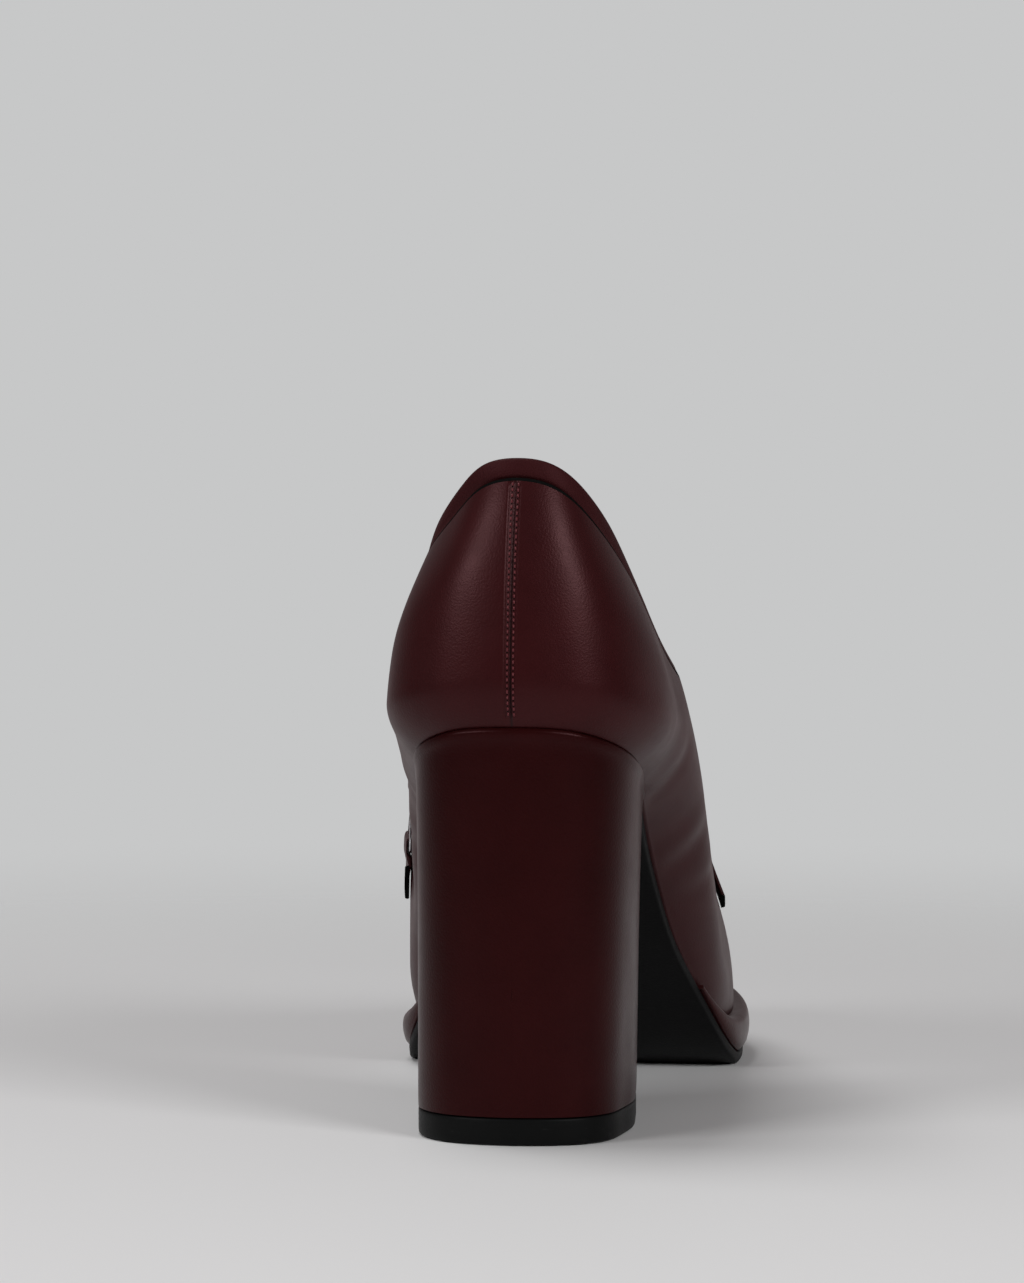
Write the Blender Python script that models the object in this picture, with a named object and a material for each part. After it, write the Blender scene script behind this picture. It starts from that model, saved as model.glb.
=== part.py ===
"""Loafer pump, right shoe, as separate pieces.

The tables use the last's own axes, in millimetres: x to the wearer's right (lateral side positive), y from
the back of the heel to the toe, z up from the floor. The finished objects are in metres, with the origin on
the floor under the middle of the shoe's box.
"""
import bmesh
import bpy
import numpy as np

MM = 0.001
ORIGIN_X = -4.4
ORIGIN_Y = 114.0

GAP = 0.3
WALL = 1.8
COLLAR_WALL = 0.9
BAND = 4.2
BAND_GROWTH = 0.4
BAND_WIDEST = 2.6
BAND_SPREAD = 1.5
BAND_END = 7.5
TUCK_REACH = 26.0
BAND_SINK = 0.35
BAND_WALL = 1.1
THROAT = 9.0
TONGUE = 1.2
TOE = 18.0

INSOLE = 2.6
SOLE = 3.0
PLATFORM_TAIL = 10.0
PLATFORM_BULGE = 1.0
BREAST = 5.45

LIFT = 6.3
HEEL_LEAN = 4.5
HEEL_TAPER_X = 0.97
HEEL_SHIFT_X = -0.6
HEEL_TAPER_Y = 0.90

STRAP_STATION = 11.0
STRAP_Y = 142.5
STRAP_SKEW = 0.23
STRAP_MIDDLE_X = -8.0
RING_Z = {1: 66.0, -1: 62.5}
STRAP_HALF = 7.7
RING_HALF_LONG = 10.0
RING_HALF_TALL = 8.0
RING_CORNER = 2.4
BAR_HALF = 1.2
BAR_LOW = 0.92
BAR_HIGH = 1.6
TAB_LENGTH = {1: 17.1, -1: 10.0}
TAB_POINT = {1: -5.0, -1: -5.5}
TAB_LIFT = 0.8
LEVEL_FADE = 0.5

# One row per station from the back seam (0) to the toe tip (18).
# edge: the line where the upper meets the sole, as y, z, middle x and half width.
# bulge: how far the wall of either side stands out beyond that line, reached at the height rise.
# tuck: how far the wall of either side is drawn in at the binding's foot.
# crest: the last's top line and its slope in side view. power: roundness of the section on either side.
# collar: height of the opening's rim, the crest's own height in front of the throat.
# platform: thickness of the layer under the edge. welt: how far it stands out.
COLUMNS = ("edge_y", "edge_z", "edge_x", "edge_half", "bulge_lateral", "bulge_medial", "tuck_lateral",
           "tuck_medial", "rise", "crest_x", "crest_y", "crest_z", "crest_slope", "power_lateral",
           "power_medial", "collar_z", "platform", "welt")
STATIONS = np.array((
    (3.0, 92.4, 0.0, 0.0, 3.3, 3.3, 0.0, 0.0, 11.0, 1.3, 26.0, 164.0, 0.0, 2.2, 2.2, 150.6, 0.0, 0.0),
    (4.6, 92.0, 0.0, 10.0, 3.7, 3.7, 0.2, 1.4, 11.0, 1.3, 26.5, 163.0, 0.0, 2.2, 2.17, 149.4, 0.0, 0.0),
    (9.0, 90.2, 0.0, 17.5, 4.5, 4.8, 1.0, 2.4, 11.0, 1.2, 28.5, 159.0, 0.0, 2.09, 2.01, 144.8, 0.0, 0.0),
    (18.0, 86.8, 0.0, 23.0, 5.3, 6.6, 1.7, 2.1, 11.0, 0.8, 32.5, 150.3, 0.0, 2.12, 2.12, 136.5, 0.0, 0.0),
    (32.0, 82.4, -0.2, 25.0, 7.4, 6.4, 1.4, 1.1, 12.0, 0.5, 40.0, 140.5, 0.0, 2.1, 2.33, 125.0, 0.0, 0.0),
    (50.0, 77.6, -2.0, 25.4, 9.1, 6.5, 0.5, 0.4, 15.0, 0.0, 51.0, 134.0, -0.1, 2.11, 2.15, 111.5, 0.0, 0.0),
    (68.0, 69.6, -2.6, 24.8, 11.2, 8.4, 0.0, 0.0, 18.0, -0.8, 64.0, 130.0, -0.25, 2.18, 2.23, 103.5, 0.0, 0.0),
    (84.0, 58.4, -2.0, 24.2, 11.7, 10.0, 0.0, 0.0, 21.0, -2.2, 76.0, 127.5, -0.45, 2.22, 2.5, 102.0, 0.0, 0.0),
    (98.0, 46.6, -1.4, 24.6, 10.8, 11.0, 0.0, 0.0, 22.0, -3.6, 87.5, 125.0, -0.65, 2.28, 2.8, 108.0, 0.0, 0.2),
    (112.0, 34.0, -1.9, 27.0, 8.8, 9.4, 0.0, 0.0, 20.0, -5.0, 98.5, 121.5, -0.85, 2.28, 3.3, 121.5, 0.0, 0.6),
    (126.0, 22.6, -3.0, 31.4, 5.7, 5.6, 0.0, 0.0, 16.0, -6.6, 110.0, 112.0, -0.93, 2.2, 3.9, 112.0, 1.2, 1.6),
    (140.0, 14.2, -4.2, 36.2, 2.4, 2.6, 0.0, 0.0, 12.0, -8.0, 124.0, 98.5, -0.94, 2.04, 4.0, 98.5, 5.3, 2.7),
    (155.0, 12.4, -4.5, 38.2, 0.6, 1.2, 0.0, 0.0, 10.0, -8.6, 139.0, 84.5, -0.88, 2.0, 3.4, 84.5, 9.5, 3.1),
    (170.0, 12.8, -4.2, 37.4, 0.0, 0.8, 0.0, 0.0, 10.0, -8.2, 155.0, 71.0, -0.78, 2.08, 2.9, 71.0, 9.9, 3.1),
    (186.0, 14.2, -3.8, 34.0, 0.4, 0.8, 0.0, 0.0, 10.0, -7.0, 172.0, 59.0, -0.65, 2.14, 2.65, 59.0, 10.0, 3.1),
    (202.0, 16.2, -3.5, 26.8, 0.8, 0.9, 0.0, 0.0, 10.0, -5.6, 184.0, 51.5, -0.57, 2.2, 2.35, 51.5, 9.8, 3.1),
    (214.0, 18.2, -3.3, 18.0, 1.0, 1.0, 0.0, 0.0, 10.0, -4.4, 192.0, 47.2, -0.51, 2.2, 2.25, 47.2, 9.8, 3.1),
    (221.5, 19.7, -3.2, 9.0, 1.0, 1.0, 0.0, 0.0, 10.0, -3.5, 196.5, 45.0, -0.49, 2.2, 2.2, 45.0, 9.8, 3.1),
    (224.0, 20.2, -3.2, 0.0, 1.0, 1.0, 0.0, 0.0, 10.0, -3.2, 198.0, 44.2, -0.49, 2.2, 2.2, 44.2, 9.8, 3.1),
))

# Section of a leather end folded round a ring's bar: distance from the bar's middle, positive towards the
# leather's own length, and height above the upper, for the fold's outer and inner face.
HOOK = np.array((
    (4.4, 1.6, 4.4, 0.3),
    (2.7, 2.1, 2.5, 0.3),
    (1.6, 2.38, 1.55, 1.8),
    (0.0, 2.42, 0.0, 1.84),
    (-1.4, 2.36, -1.4, 1.8),
    (-2.2, 1.95, -1.55, 1.55),
    (-2.4, 1.3, -1.6, 1.25),
    (-2.2, 0.68, -1.55, 0.95),
    (-1.4, 0.3, -1.4, 0.72),
    (0.0, 0.3, 0.0, 0.7),
    (1.5, 0.3, 1.5, 0.7),
))

# Platform and heel edge profiles: share of the height and how far out of the welt line.
PLATFORM_EDGE = ((0.0, -0.6), (0.18, 0.3), (0.5, 0.8), (0.8, 0.6), (0.94, -0.1), (1.0, -1.0))
HEEL_EDGE = ((0.0, 0.0), (0.2, -0.1), (0.45, -0.2), (0.7, -0.2), (0.9, 0.0), (0.975, 0.3), (1.0, -0.5))

LEATHER = ((0.060, 0.014, 0.018), 0.42, 0.0)
BINDING = ((0.050, 0.013, 0.016), 0.55, 0.0)
SOCK = ((0.16, 0.09, 0.07), 0.6, 0.0)
BLACK = ((0.012, 0.012, 0.013), 0.55, 0.0)
RUBBER = ((0.010, 0.010, 0.011), 0.45, 0.0)
STEEL = ((0.62, 0.63, 0.65), 0.2, 1.0)


def along(name, s):
    """A column's value at station s: a cubic spline through the rows, mirrored past back seam and toe."""
    rows = STATIONS[:, COLUMNS.index(name)]
    pad = 6
    sign = -1.0 if name == "edge_half" else 1.0
    knots = np.concatenate((sign * rows[pad:0:-1], rows, sign * rows[-2:-2 - pad:-1]))
    count = len(knots)
    system = np.eye(count)
    inner = np.arange(1, count - 1)
    system[inner, inner] = 4.0
    system[inner, inner - 1] = 1.0
    system[inner, inner + 1] = 1.0
    jumps = np.zeros(count)
    jumps[1:-1] = 6.0 * (knots[2:] - 2.0 * knots[1:-1] + knots[:-2])
    bend = np.linalg.solve(system, jumps)
    t = np.clip(np.asarray(s, float) + pad, 0.0, count - 1.001)
    i = np.floor(t).astype(int)
    b = t - i
    a = 1.0 - b
    return a * knots[i] + b * knots[i + 1] + ((a ** 3 - a) * bend[i] + (b ** 3 - b) * bend[i + 1]) / 6.0


def outline(s, side, out=0.0):
    """Plan position on the edge line, moved outwards by out."""
    step = 0.01
    x = along("edge_x", s) + side * along("edge_half", s)
    y = along("edge_y", s)
    run_x = along("edge_x", s + step) - along("edge_x", s - step)
    run_x = run_x + side * (along("edge_half", s + step) - along("edge_half", s - step))
    run_y = along("edge_y", s + step) - along("edge_y", s - step)
    length = np.hypot(run_x, run_y)
    return x + side * out * run_y / length, y - side * out * run_x / length


def roundness(s, side):
    """Section power on either side of the shoe."""
    return np.where(np.asarray(side) > 0, along("power_lateral", s), along("power_medial", s))


def fullness(s, side):
    """How far the wall stands out beyond the edge line on either side of the shoe."""
    return np.where(np.asarray(side) > 0, along("bulge_lateral", s), along("bulge_medial", s))


def tuck(s, side, below):
    """How far the wall is drawn in at a height below the collar: most at the binding's foot, so that the
    binding flares from there up to the rim, easing out again further down the wall."""
    amount = np.where(np.asarray(side) > 0, along("tuck_lateral", s), along("tuck_medial", s))
    away = np.clip((below - BAND) / (TUCK_REACH - BAND), 0.0, 1.0)
    return amount * np.clip(below / BAND, 0.0, 1.0) * (1.0 - away * away * (3.0 - 2.0 * away))


def surface(s, angle, side):
    """Outer face of the upper: at each station a rounded arch from the edge line up to the crest."""
    power = roundness(s, side)
    size = (np.cos(angle) ** power + np.sin(angle) ** power) ** (1.0 / power)
    reach = np.cos(angle) / size
    height = np.sin(angle) / size
    rise = along("crest_z", s) - along("edge_z", s)
    climb = np.clip(height * rise / along("rise", s), 0.0, 1.0)
    below = along("collar_z", s) - along("edge_z", s) - rise * height
    base_x, base_y = outline(s, side, fullness(s, side) * climb * (2.0 - climb) - tuck(s, side, below))
    crest_x = along("crest_x", s)
    crest_y = along("crest_y", s)
    x = crest_x + (base_x - crest_x) * reach
    y = crest_y + (base_y - crest_y) * reach
    lean = along("crest_slope", s) * (base_y - crest_y) * reach * (1.0 - reach)
    return np.stack((x, y, along("edge_z", s) + rise * height + lean), axis=-1)


def raised(s, angle, side, height):
    """A point at a height above the upper's outer face, measured square to it."""
    s = np.asarray(s, float)
    angle = np.clip(angle, 0.0, np.pi / 2)
    step = 0.004
    low = np.clip(angle - step, 0.0, np.pi / 2 - 2 * step)
    high = np.clip(low + 2 * step, 0.0, np.pi / 2)
    flat = np.clip(angle, 0.0, np.pi / 2 - step)
    way = surface(s + step, flat, side) - surface(s - step, flat, side)
    climb = surface(s, high, side) - surface(s, low, side)
    normal = np.asarray(side, float)[..., None] * np.cross(way, climb)
    slope = along("crest_slope", s) + 0.0 * angle
    top = np.stack((0.0 * slope, -slope, 1.0 + 0.0 * slope), axis=-1)
    normal = np.where((angle > np.pi / 2 - 1e-6)[..., None], top, normal)
    normal = normal / np.linalg.norm(normal, axis=-1, keepdims=True)
    return surface(s, angle, side) + normal * np.asarray(height)[..., None]


def angle_at(s, z, side):
    """Arch angle at which the upper's face passes a height."""
    share = np.clip((z - along("edge_z", s)) / (along("crest_z", s) - along("edge_z", s)), 0.0, 1.0)
    power = roundness(s, side)
    return np.arctan2(share, np.maximum(1.0 - share ** power, 0.0) ** (1.0 / power))


def collar_angle(s, side):
    """Arch angle of the opening's rim, which crosses the crest in a straight line at the throat."""
    power = roundness(s, side)
    reach = np.clip((THROAT - s) / TONGUE, 0.0, 1.0)
    straight = np.arctan2((1.0 - reach ** power) ** (1.0 / power), reach)
    return np.maximum(angle_at(s, along("collar_z", s), side), straight)


def pace(s, angle, side):
    """Millimetres of upper per radian of arch angle, and per station."""
    step = 0.002
    climb = surface(s, angle + step, side) - surface(s, angle - step, side)
    way = surface(s + step, angle, side) - surface(s - step, angle, side)
    return np.linalg.norm(climb, axis=-1) / (2 * step), np.linalg.norm(way, axis=-1) / (2 * step)


def band_height(s):
    """Height of the binding's visible strip: taller beside the heel than at the back, nothing at its ends."""
    grown = 1.0 + BAND_GROWTH * np.exp(-((s - BAND_WIDEST) / BAND_SPREAD) ** 2)
    return BAND * grown * np.clip(1.0 - (s / BAND_END) ** 4, 0.0, 1.0)


def quarter_angle(s, side):
    """Arch angle of the upper's own rim, below the binding."""
    rim = collar_angle(s, side)
    below = np.minimum(rim, 1.4)
    return rim - band_height(s) / pace(s, below, side)[0]


def ground(s):
    """Height of the outsole's underside: flat on the floor under the ball."""
    return np.maximum(along("edge_z", s) - GAP - np.maximum(along("platform", s), 0.0) - SOLE, 0.0)


def solid(name, points, faces, look, smooth=True):
    """Turn points in millimetres and faces into one closed object with its own material."""
    mesh = bpy.data.meshes.new(name)
    shift = np.array((ORIGIN_X, ORIGIN_Y, 0.0))
    mesh.from_pydata(((np.asarray(points) - shift) * MM).tolist(), [], faces)
    work = bmesh.new()
    work.from_mesh(mesh)
    bmesh.ops.remove_doubles(work, verts=work.verts, dist=0.000002)
    bmesh.ops.dissolve_degenerate(work, edges=work.edges, dist=0.000002)
    bmesh.ops.recalc_face_normals(work, faces=work.faces)
    bmesh.ops.triangulate(work, faces=work.faces)
    work.to_mesh(mesh)
    work.free()
    for polygon in mesh.polygons:
        polygon.use_smooth = smooth
    colour, roughness, metallic = look
    material = bpy.data.materials.new(name)
    material.use_nodes = True
    shader = material.node_tree.nodes["Principled BSDF"]
    shader.inputs["Base Color"].default_value = (*colour, 1.0)
    shader.inputs["Roughness"].default_value = roughness
    shader.inputs["Metallic"].default_value = metallic
    mesh.materials.append(material)
    piece = bpy.data.objects.new(name, mesh)
    bpy.context.scene.collection.objects.link(piece)
    return piece


def grid_faces(rows, columns, start=0, closed=False):
    """Quads of a grid of rows by columns, with the rows joined end to start when closed."""
    faces = []
    for i in range(rows if closed else rows - 1):
        j = (i + 1) % rows
        for k in range(columns - 1):
            faces.append((start + i * columns + k, start + j * columns + k, start + j * columns + k + 1,
                          start + i * columns + k + 1))
    return faces


def slab(name, stations, levels, look):
    """A piece between a lateral and a medial outline, from levels of (out, z, plan map), bottom to top."""
    walls = []
    for side in (1, -1):
        wall = []
        for out, z, plan in levels:
            x, y = outline(stations, side, out)
            x, y = plan(x, y)
            wall.append(np.stack((x, y, z), axis=-1))
        walls.append(np.stack(wall, axis=1))
    loop = np.concatenate((walls[0], walls[1][:, ::-1]), axis=1)
    rows, columns = loop.shape[:2]
    half = columns // 2
    loop = np.concatenate((loop, loop[:, :1]), axis=1)
    faces = grid_faces(rows, columns + 1)
    for row in (0, rows - 1):
        first = row * (columns + 1)
        for k in range(half - 1):
            faces.append((first + k, first + k + 1, first + columns - 2 - k, first + columns - 1 - k))
    return solid(name, loop.reshape(-1, 3), faces, look)


def shell(name, loop, rims, look):
    """A wall from an outer and an inner grid on the same columns, joined at the ends that rims names."""
    outer, inner = loop
    columns, rows = outer.shape[:2]
    points = np.concatenate((outer.reshape(-1, 3), inner.reshape(-1, 3)))
    closed = rims["closed"]
    faces = grid_faces(columns, rows, 0, closed)
    faces += grid_faces(columns, rows, columns * rows, closed)
    for i in range(columns if closed else columns - 1):
        j = (i + 1) % columns
        for k in (0, rows - 1):
            if k and not (rims["top"][i] and rims["top"][j]):
                continue
            a = i * rows + k
            b = j * rows + k
            faces.append((a, b, b + columns * rows, a + columns * rows))
    if not closed:
        for i in (0, columns - 1):
            for k in range(rows - 1):
                a = i * rows + k
                faces.append((a, a + 1, a + 1 + columns * rows, a + columns * rows))
    return solid(name, points, faces, look)


def ribbon(name, outer, inner, look):
    """A folded strip: outer and inner face as grids of steps along it by stations across it."""
    steps, across = outer.shape[:2]
    points = np.concatenate((outer.reshape(-1, 3), inner.reshape(-1, 3)))
    size = steps * across
    faces = grid_faces(steps, across) + grid_faces(steps, across, size)
    for k in (0, across - 1):
        for i in range(steps - 1):
            a = i * across + k
            faces.append((a, a + across, a + across + size, a + size))
    for i in (0, steps - 1):
        for k in range(across - 1):
            a = i * across + k
            faces.append((a, a + 1, a + 1 + size, a + size))
    return solid(name, points, faces, look, smooth=False)


def keep(x, y):
    """Plan map that leaves the outline as it is."""
    return x, y


def heel_plan(share):
    """Plan map that draws the heel in towards the floor; share is 0 at the lift and 1 at the seat."""
    def move(x, y):
        taper_x = HEEL_TAPER_X + (1.0 - HEEL_TAPER_X) * share
        taper_y = HEEL_TAPER_Y + (1.0 - HEEL_TAPER_Y) * share
        back = STATIONS[0, 0]
        moved_y = back + HEEL_LEAN * (1.0 - share) + (y - back) * taper_y
        return x * taper_x + HEEL_SHIFT_X * (1.0 - share), moved_y
    return move


def perimeter():
    """Stations and sides of the columns round the upper: lateral from heel to toe, then medial back."""
    behind = np.linspace(0.0, THROAT - 1.0, 17)
    near_throat = np.linspace(THROAT - 1.0, THROAT, 5)[1:]
    stations = np.concatenate((behind, near_throat, np.linspace(THROAT, TOE, 19)[1:]))
    s = np.concatenate((stations, stations[-2:0:-1]))
    side = np.concatenate((np.ones(len(stations)), -np.ones(len(stations) - 2)))
    return s, side


def upper():
    """The hollow upper: outer face, inner face a wall's thickness in, open at the collar and underneath."""
    s, side = perimeter()
    share = np.concatenate((np.linspace(0.0, 0.84, 11), (0.9, 0.95, 1.0)))
    s = s[:, None] + 0.0 * share
    side = side[:, None] + 0.0 * share
    angle = quarter_angle(s, side) * share
    thin = np.clip((share - 0.84) / 0.06, 0.0, 1.0) * (band_height(s) > 0.5)
    outer = surface(s, angle, side)
    inner = raised(s, angle, side, -WALL + (WALL - COLLAR_WALL) * thin)
    rims = {"closed": True, "top": s[:, 0] <= THROAT + 1e-9}
    return shell("upper", (outer, inner), rims, LEATHER)


def topline_binding():
    """The collar strip: its lower part laps inside the upper's thin rim, the rest stands above that rim."""
    stations = np.linspace(0.0, BAND_END - 0.5, 15)
    s = np.concatenate((stations[::-1], stations[1:]))
    side = np.concatenate((-np.ones(len(stations)), np.ones(len(stations) - 1)))
    top = collar_angle(s, side)
    length = pace(s, top, side)[0]
    rim = quarter_angle(s, side)
    clear = 0.45
    lap = 0.085 * rim * length
    angles = (rim - lap / length, rim - 0.5 * lap / length, rim - 0.1 / length, rim + clear / length,
              0.5 * (rim + top) + 0.2 / length, top)
    sunk = -(COLLAR_WALL + GAP)
    outs = (sunk, sunk, sunk, -BAND_SINK, -BAND_SINK, -BAND_SINK - 0.25)
    ins = (sunk - 0.6, sunk - BAND_WALL, sunk - BAND_WALL, sunk - BAND_WALL, sunk - 0.9, sunk - 0.35)
    outer = np.stack([raised(s, a, side, 0.0 * s + h) for a, h in zip(angles, outs)], axis=1)
    inner = np.stack([raised(s, a, side, 0.0 * s + h) for a, h in zip(angles, ins)], axis=1)
    return shell("topline_binding", (outer, inner), {"closed": False, "top": s < TOE}, BINDING)


def half_stations(first, last):
    """Every half station between two stations, with both ends, so that neighbours share their columns."""
    return np.unique(np.concatenate(((first,), np.arange(np.ceil(2 * first), 2 * last) / 2.0, (last,))))


def insole():
    """The board inside the upper, a small gap from the wall."""
    s = half_stations(0.0, TOE)
    low = along("edge_z", s) + GAP
    inset = -(WALL + GAP)
    return slab("insole", s, ((inset, low, keep), (inset, low + INSOLE, keep)), SOCK)


def platform():
    """The covered layer under the forefoot, from its thin tail at the waist to the toe."""
    s = half_stations(PLATFORM_TAIL, TOE)
    low = ground(s) + SOLE + GAP
    high = along("edge_z", s) - GAP
    grown = np.clip((high - low) / 6.0, 0.1, 1.0)
    levels = []
    for share, out in PLATFORM_EDGE:
        levels.append((along("welt", s) + out * grown * PLATFORM_BULGE, low + (high - low) * share, keep))
    return slab("platform", s, levels, LEATHER)


def outsole():
    """The thin sole from the heel breast to the toe."""
    s = half_stations(BREAST + 0.02, TOE)
    low = ground(s)
    welt = along("welt", s)
    levels = ((welt - 1.4, low, keep), (welt - 0.9, low + 0.5, keep), (welt - 0.8, low + SOLE, keep))
    return slab("outsole", s, levels, BLACK)


def heel_block():
    """The covered block: follows the seat's outline at the top and draws in towards the lift."""
    s = half_stations(0.0, BREAST)
    high = along("edge_z", s) - GAP
    levels = []
    for share, out in HEEL_EDGE:
        levels.append((out + 0.0 * s, LIFT + (high - LIFT) * share, heel_plan(share)))
    return slab("heel_block", s, levels, LEATHER)


def top_lift():
    """The wearing piece under the block, flat on the floor."""
    s = half_stations(0.0, BREAST)
    levels = ((-0.5 + 0.0 * s, 0.0 * s, heel_plan(0.0)), (-0.1 + 0.0 * s, 0.5 + 0.0 * s, heel_plan(0.0)),
              (-0.1 + 0.0 * s, LIFT - GAP + 0.0 * s, heel_plan(0.0)))
    return slab("top_lift", s, levels, RUBBER)


def station_at(angle, side, y):
    """Station at which the upper's face, at an arch angle, passes the strap's slanted line."""
    s = STRAP_STATION + 0.0 * angle
    for _ in range(10):
        place = surface(s, angle, side)
        s = s + (y + STRAP_SKEW * (place[..., 0] - STRAP_MIDDLE_X) - place[..., 1]) / 15.0
    return s


def ring_middle(side):
    """Arch angle at a ring's middle, wall per radian there, and way up per reach that keeps level."""
    s = np.float64(STRAP_STATION)
    for _ in range(4):
        angle = angle_at(s, RING_Z[side], side)
        s = station_at(angle, side, STRAP_Y)
    step = 0.01
    up = pace(s, angle, side)[0]
    run = surface(s + step, angle, side) - surface(s - step, angle, side)
    above = surface(station_at(angle + step, side, STRAP_Y), angle + step, side)
    below = surface(station_at(angle - step, side, STRAP_Y), angle - step, side)
    lift = (above - below)[2] / (2.0 * step * up)
    return angle, up, -run[2] / (np.linalg.norm(run) * lift)


def on_side(side, way, reach, height):
    """A point by the ring: reach along the shoe, way up the wall from its middle, height off the upper."""
    middle, up, rake = ring_middle(side)
    plain = np.minimum(middle + way / up, np.pi / 2)
    fade = np.clip((np.pi / 2 - plain) / LEVEL_FADE, 0.0, 1.0)
    angle = np.minimum(plain + rake * reach / up * fade * fade * (3.0 - 2.0 * fade), np.pi / 2)
    s = station_at(angle, side, STRAP_Y)
    step = 0.01
    run = surface(s + step, angle, side) - surface(s - step, angle, side)
    level = run[..., 1] / np.linalg.norm(run, axis=-1)
    return raised(station_at(angle, side, STRAP_Y + reach * level), angle, side, height)


def ring_line():
    """Middle line of a ring and its outward direction, as reach, way, outward reach, outward way."""
    long = RING_HALF_LONG - RING_CORNER
    tall = RING_HALF_TALL - RING_CORNER
    quarters = []
    for turn, (cx, cy) in enumerate(((1, 1), (-1, 1), (-1, -1), (1, -1))):
        bend = turn * np.pi / 2 + np.linspace(0.0, np.pi / 2, 5)
        out = np.stack((np.cos(bend), np.sin(bend)), axis=-1)
        arc = np.array((cx * long, cy * tall)) + RING_CORNER * out
        after = np.array(((-cx, cy), (cx, -cy))[turn % 2]) * (long, tall) + RING_CORNER * out[-1]
        bar = arc[-1] + (after - arc[-1]) * np.linspace(0.0, 1.0, 5)[1:-1, None]
        outward = np.concatenate((out, np.repeat(out[-1:], 3, axis=0)))
        quarters.append(np.concatenate((np.concatenate((arc, bar)), outward), axis=1))
    return np.concatenate(quarters)


def ring(name, side):
    """A flat metal loop lying on the side wall: a rounded rectangle with a flat bar's section."""
    line = ring_line()
    loops = []
    section = ((-BAR_HALF, BAR_LOW), (BAR_HALF, BAR_LOW), (BAR_HALF, BAR_HIGH), (-BAR_HALF, BAR_HIGH))
    for grow, height in section:
        place = line[:, :2] + grow * line[:, 2:]
        loops.append(on_side(side, place[:, 1], place[:, 0], 0.0 * place[:, 0] + height))
    loops.append(loops[0])
    points = np.stack(loops, axis=1)
    faces = grid_faces(len(line), 5, 0, True)
    return solid(name, points.reshape(-1, 3), faces, STEEL, smooth=False)


def hook(upward):
    """Fold round a bar as outer and inner (way, height): upward is 1 at the upper bar, -1 at the lower."""
    outer = np.stack((upward * (RING_HALF_TALL + HOOK[:, 0]), HOOK[:, 1]), axis=-1)
    inner = np.stack((upward * (RING_HALF_TALL + HOOK[:, 2]), HOOK[:, 3]), axis=-1)
    return outer, inner


def fold_points(side, path, reach):
    """Place a fold's (way, height) path across the strap's width."""
    way = path[:, :1] + 0.0 * reach
    return on_side(side, way, reach + 0.0 * way, path[:, 1:] + 0.0 * reach)


def saddle_strap():
    """The strap over the vamp: flat over the crest, folded round each ring's upper bar."""
    reach = np.linspace(-STRAP_HALF, STRAP_HALF, 5)
    faces = []
    for part in (0, 1):
        halves = []
        for side in (1, -1):
            path = hook(1)[part]
            middle, up, _ = ring_middle(side)
            way = np.linspace(path[0, 0], (np.pi / 2 - middle) * up, 19)[1:]
            over = np.stack((way, path[0, 1] + 0.0 * way), axis=-1)
            halves.append(fold_points(side, np.concatenate((path[::-1], over)), reach))
        faces.append(np.concatenate((halves[0], halves[1][-2::-1])))
    return ribbon("saddle_strap", faces[0], faces[1], LEATHER)


def tab(name, side):
    """The leather tab below a ring: folded round its lower bar, its slanted end lifted off the wall."""
    reach = np.linspace(-STRAP_HALF, STRAP_HALF, 5)
    grids = []
    for part in (0, 1):
        path = hook(-1)[part]
        folded = fold_points(side, path[::-1], reach)
        start = path[0, 0]
        end = -(RING_HALF_TALL + TAB_LENGTH[side]) + TAB_POINT[side] * reach / STRAP_HALF
        share = np.linspace(0.0, 1.0, 6)[1:, None]
        way = start + (end - start) * share
        body = on_side(side, way, reach + 0.0 * way, path[0, 1] + TAB_LIFT * share ** 2 + 0.0 * way)
        grids.append(np.concatenate((folded, body)))
    return ribbon(name, grids[0], grids[1], LEATHER)


for old in list(bpy.data.objects):
    bpy.data.objects.remove(old, do_unlink=True)

upper()
topline_binding()
insole()
platform()
outsole()
heel_block()
top_lift()
saddle_strap()
ring("ring_lateral", 1)
ring("ring_medial", -1)
tab("tab_lateral", 1)
tab("tab_medial", -1)
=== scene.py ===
"""Looks of the loafer pump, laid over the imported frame.

Shapes are worked out on the last's own axes in millimetres, as in the part's source: x to the lateral side,
y from heel to toe, z up. The last's surface is a function of a station s (0 at the back seam, 18 at the toe),
an arch angle (0 at the sole's edge, a right angle at the crest) and a side (1 lateral, -1 medial).
"""
import math

import bmesh
import bpy
import numpy as np
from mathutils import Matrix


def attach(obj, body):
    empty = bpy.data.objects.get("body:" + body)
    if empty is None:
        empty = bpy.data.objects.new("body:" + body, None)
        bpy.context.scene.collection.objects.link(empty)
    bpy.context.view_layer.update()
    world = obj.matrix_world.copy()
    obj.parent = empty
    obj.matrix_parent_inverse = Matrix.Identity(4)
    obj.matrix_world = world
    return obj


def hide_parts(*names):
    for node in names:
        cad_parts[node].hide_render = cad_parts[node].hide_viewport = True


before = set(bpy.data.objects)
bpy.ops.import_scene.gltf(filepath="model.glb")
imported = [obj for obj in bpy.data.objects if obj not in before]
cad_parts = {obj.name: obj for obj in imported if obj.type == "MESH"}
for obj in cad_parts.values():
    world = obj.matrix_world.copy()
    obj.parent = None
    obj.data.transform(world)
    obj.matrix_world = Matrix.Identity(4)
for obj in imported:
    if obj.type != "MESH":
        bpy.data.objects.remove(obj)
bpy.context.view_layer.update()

MM = 0.001
WELD = 0.000001
ORIGIN = np.array((-4.4, 114.0, 0.0))

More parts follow.
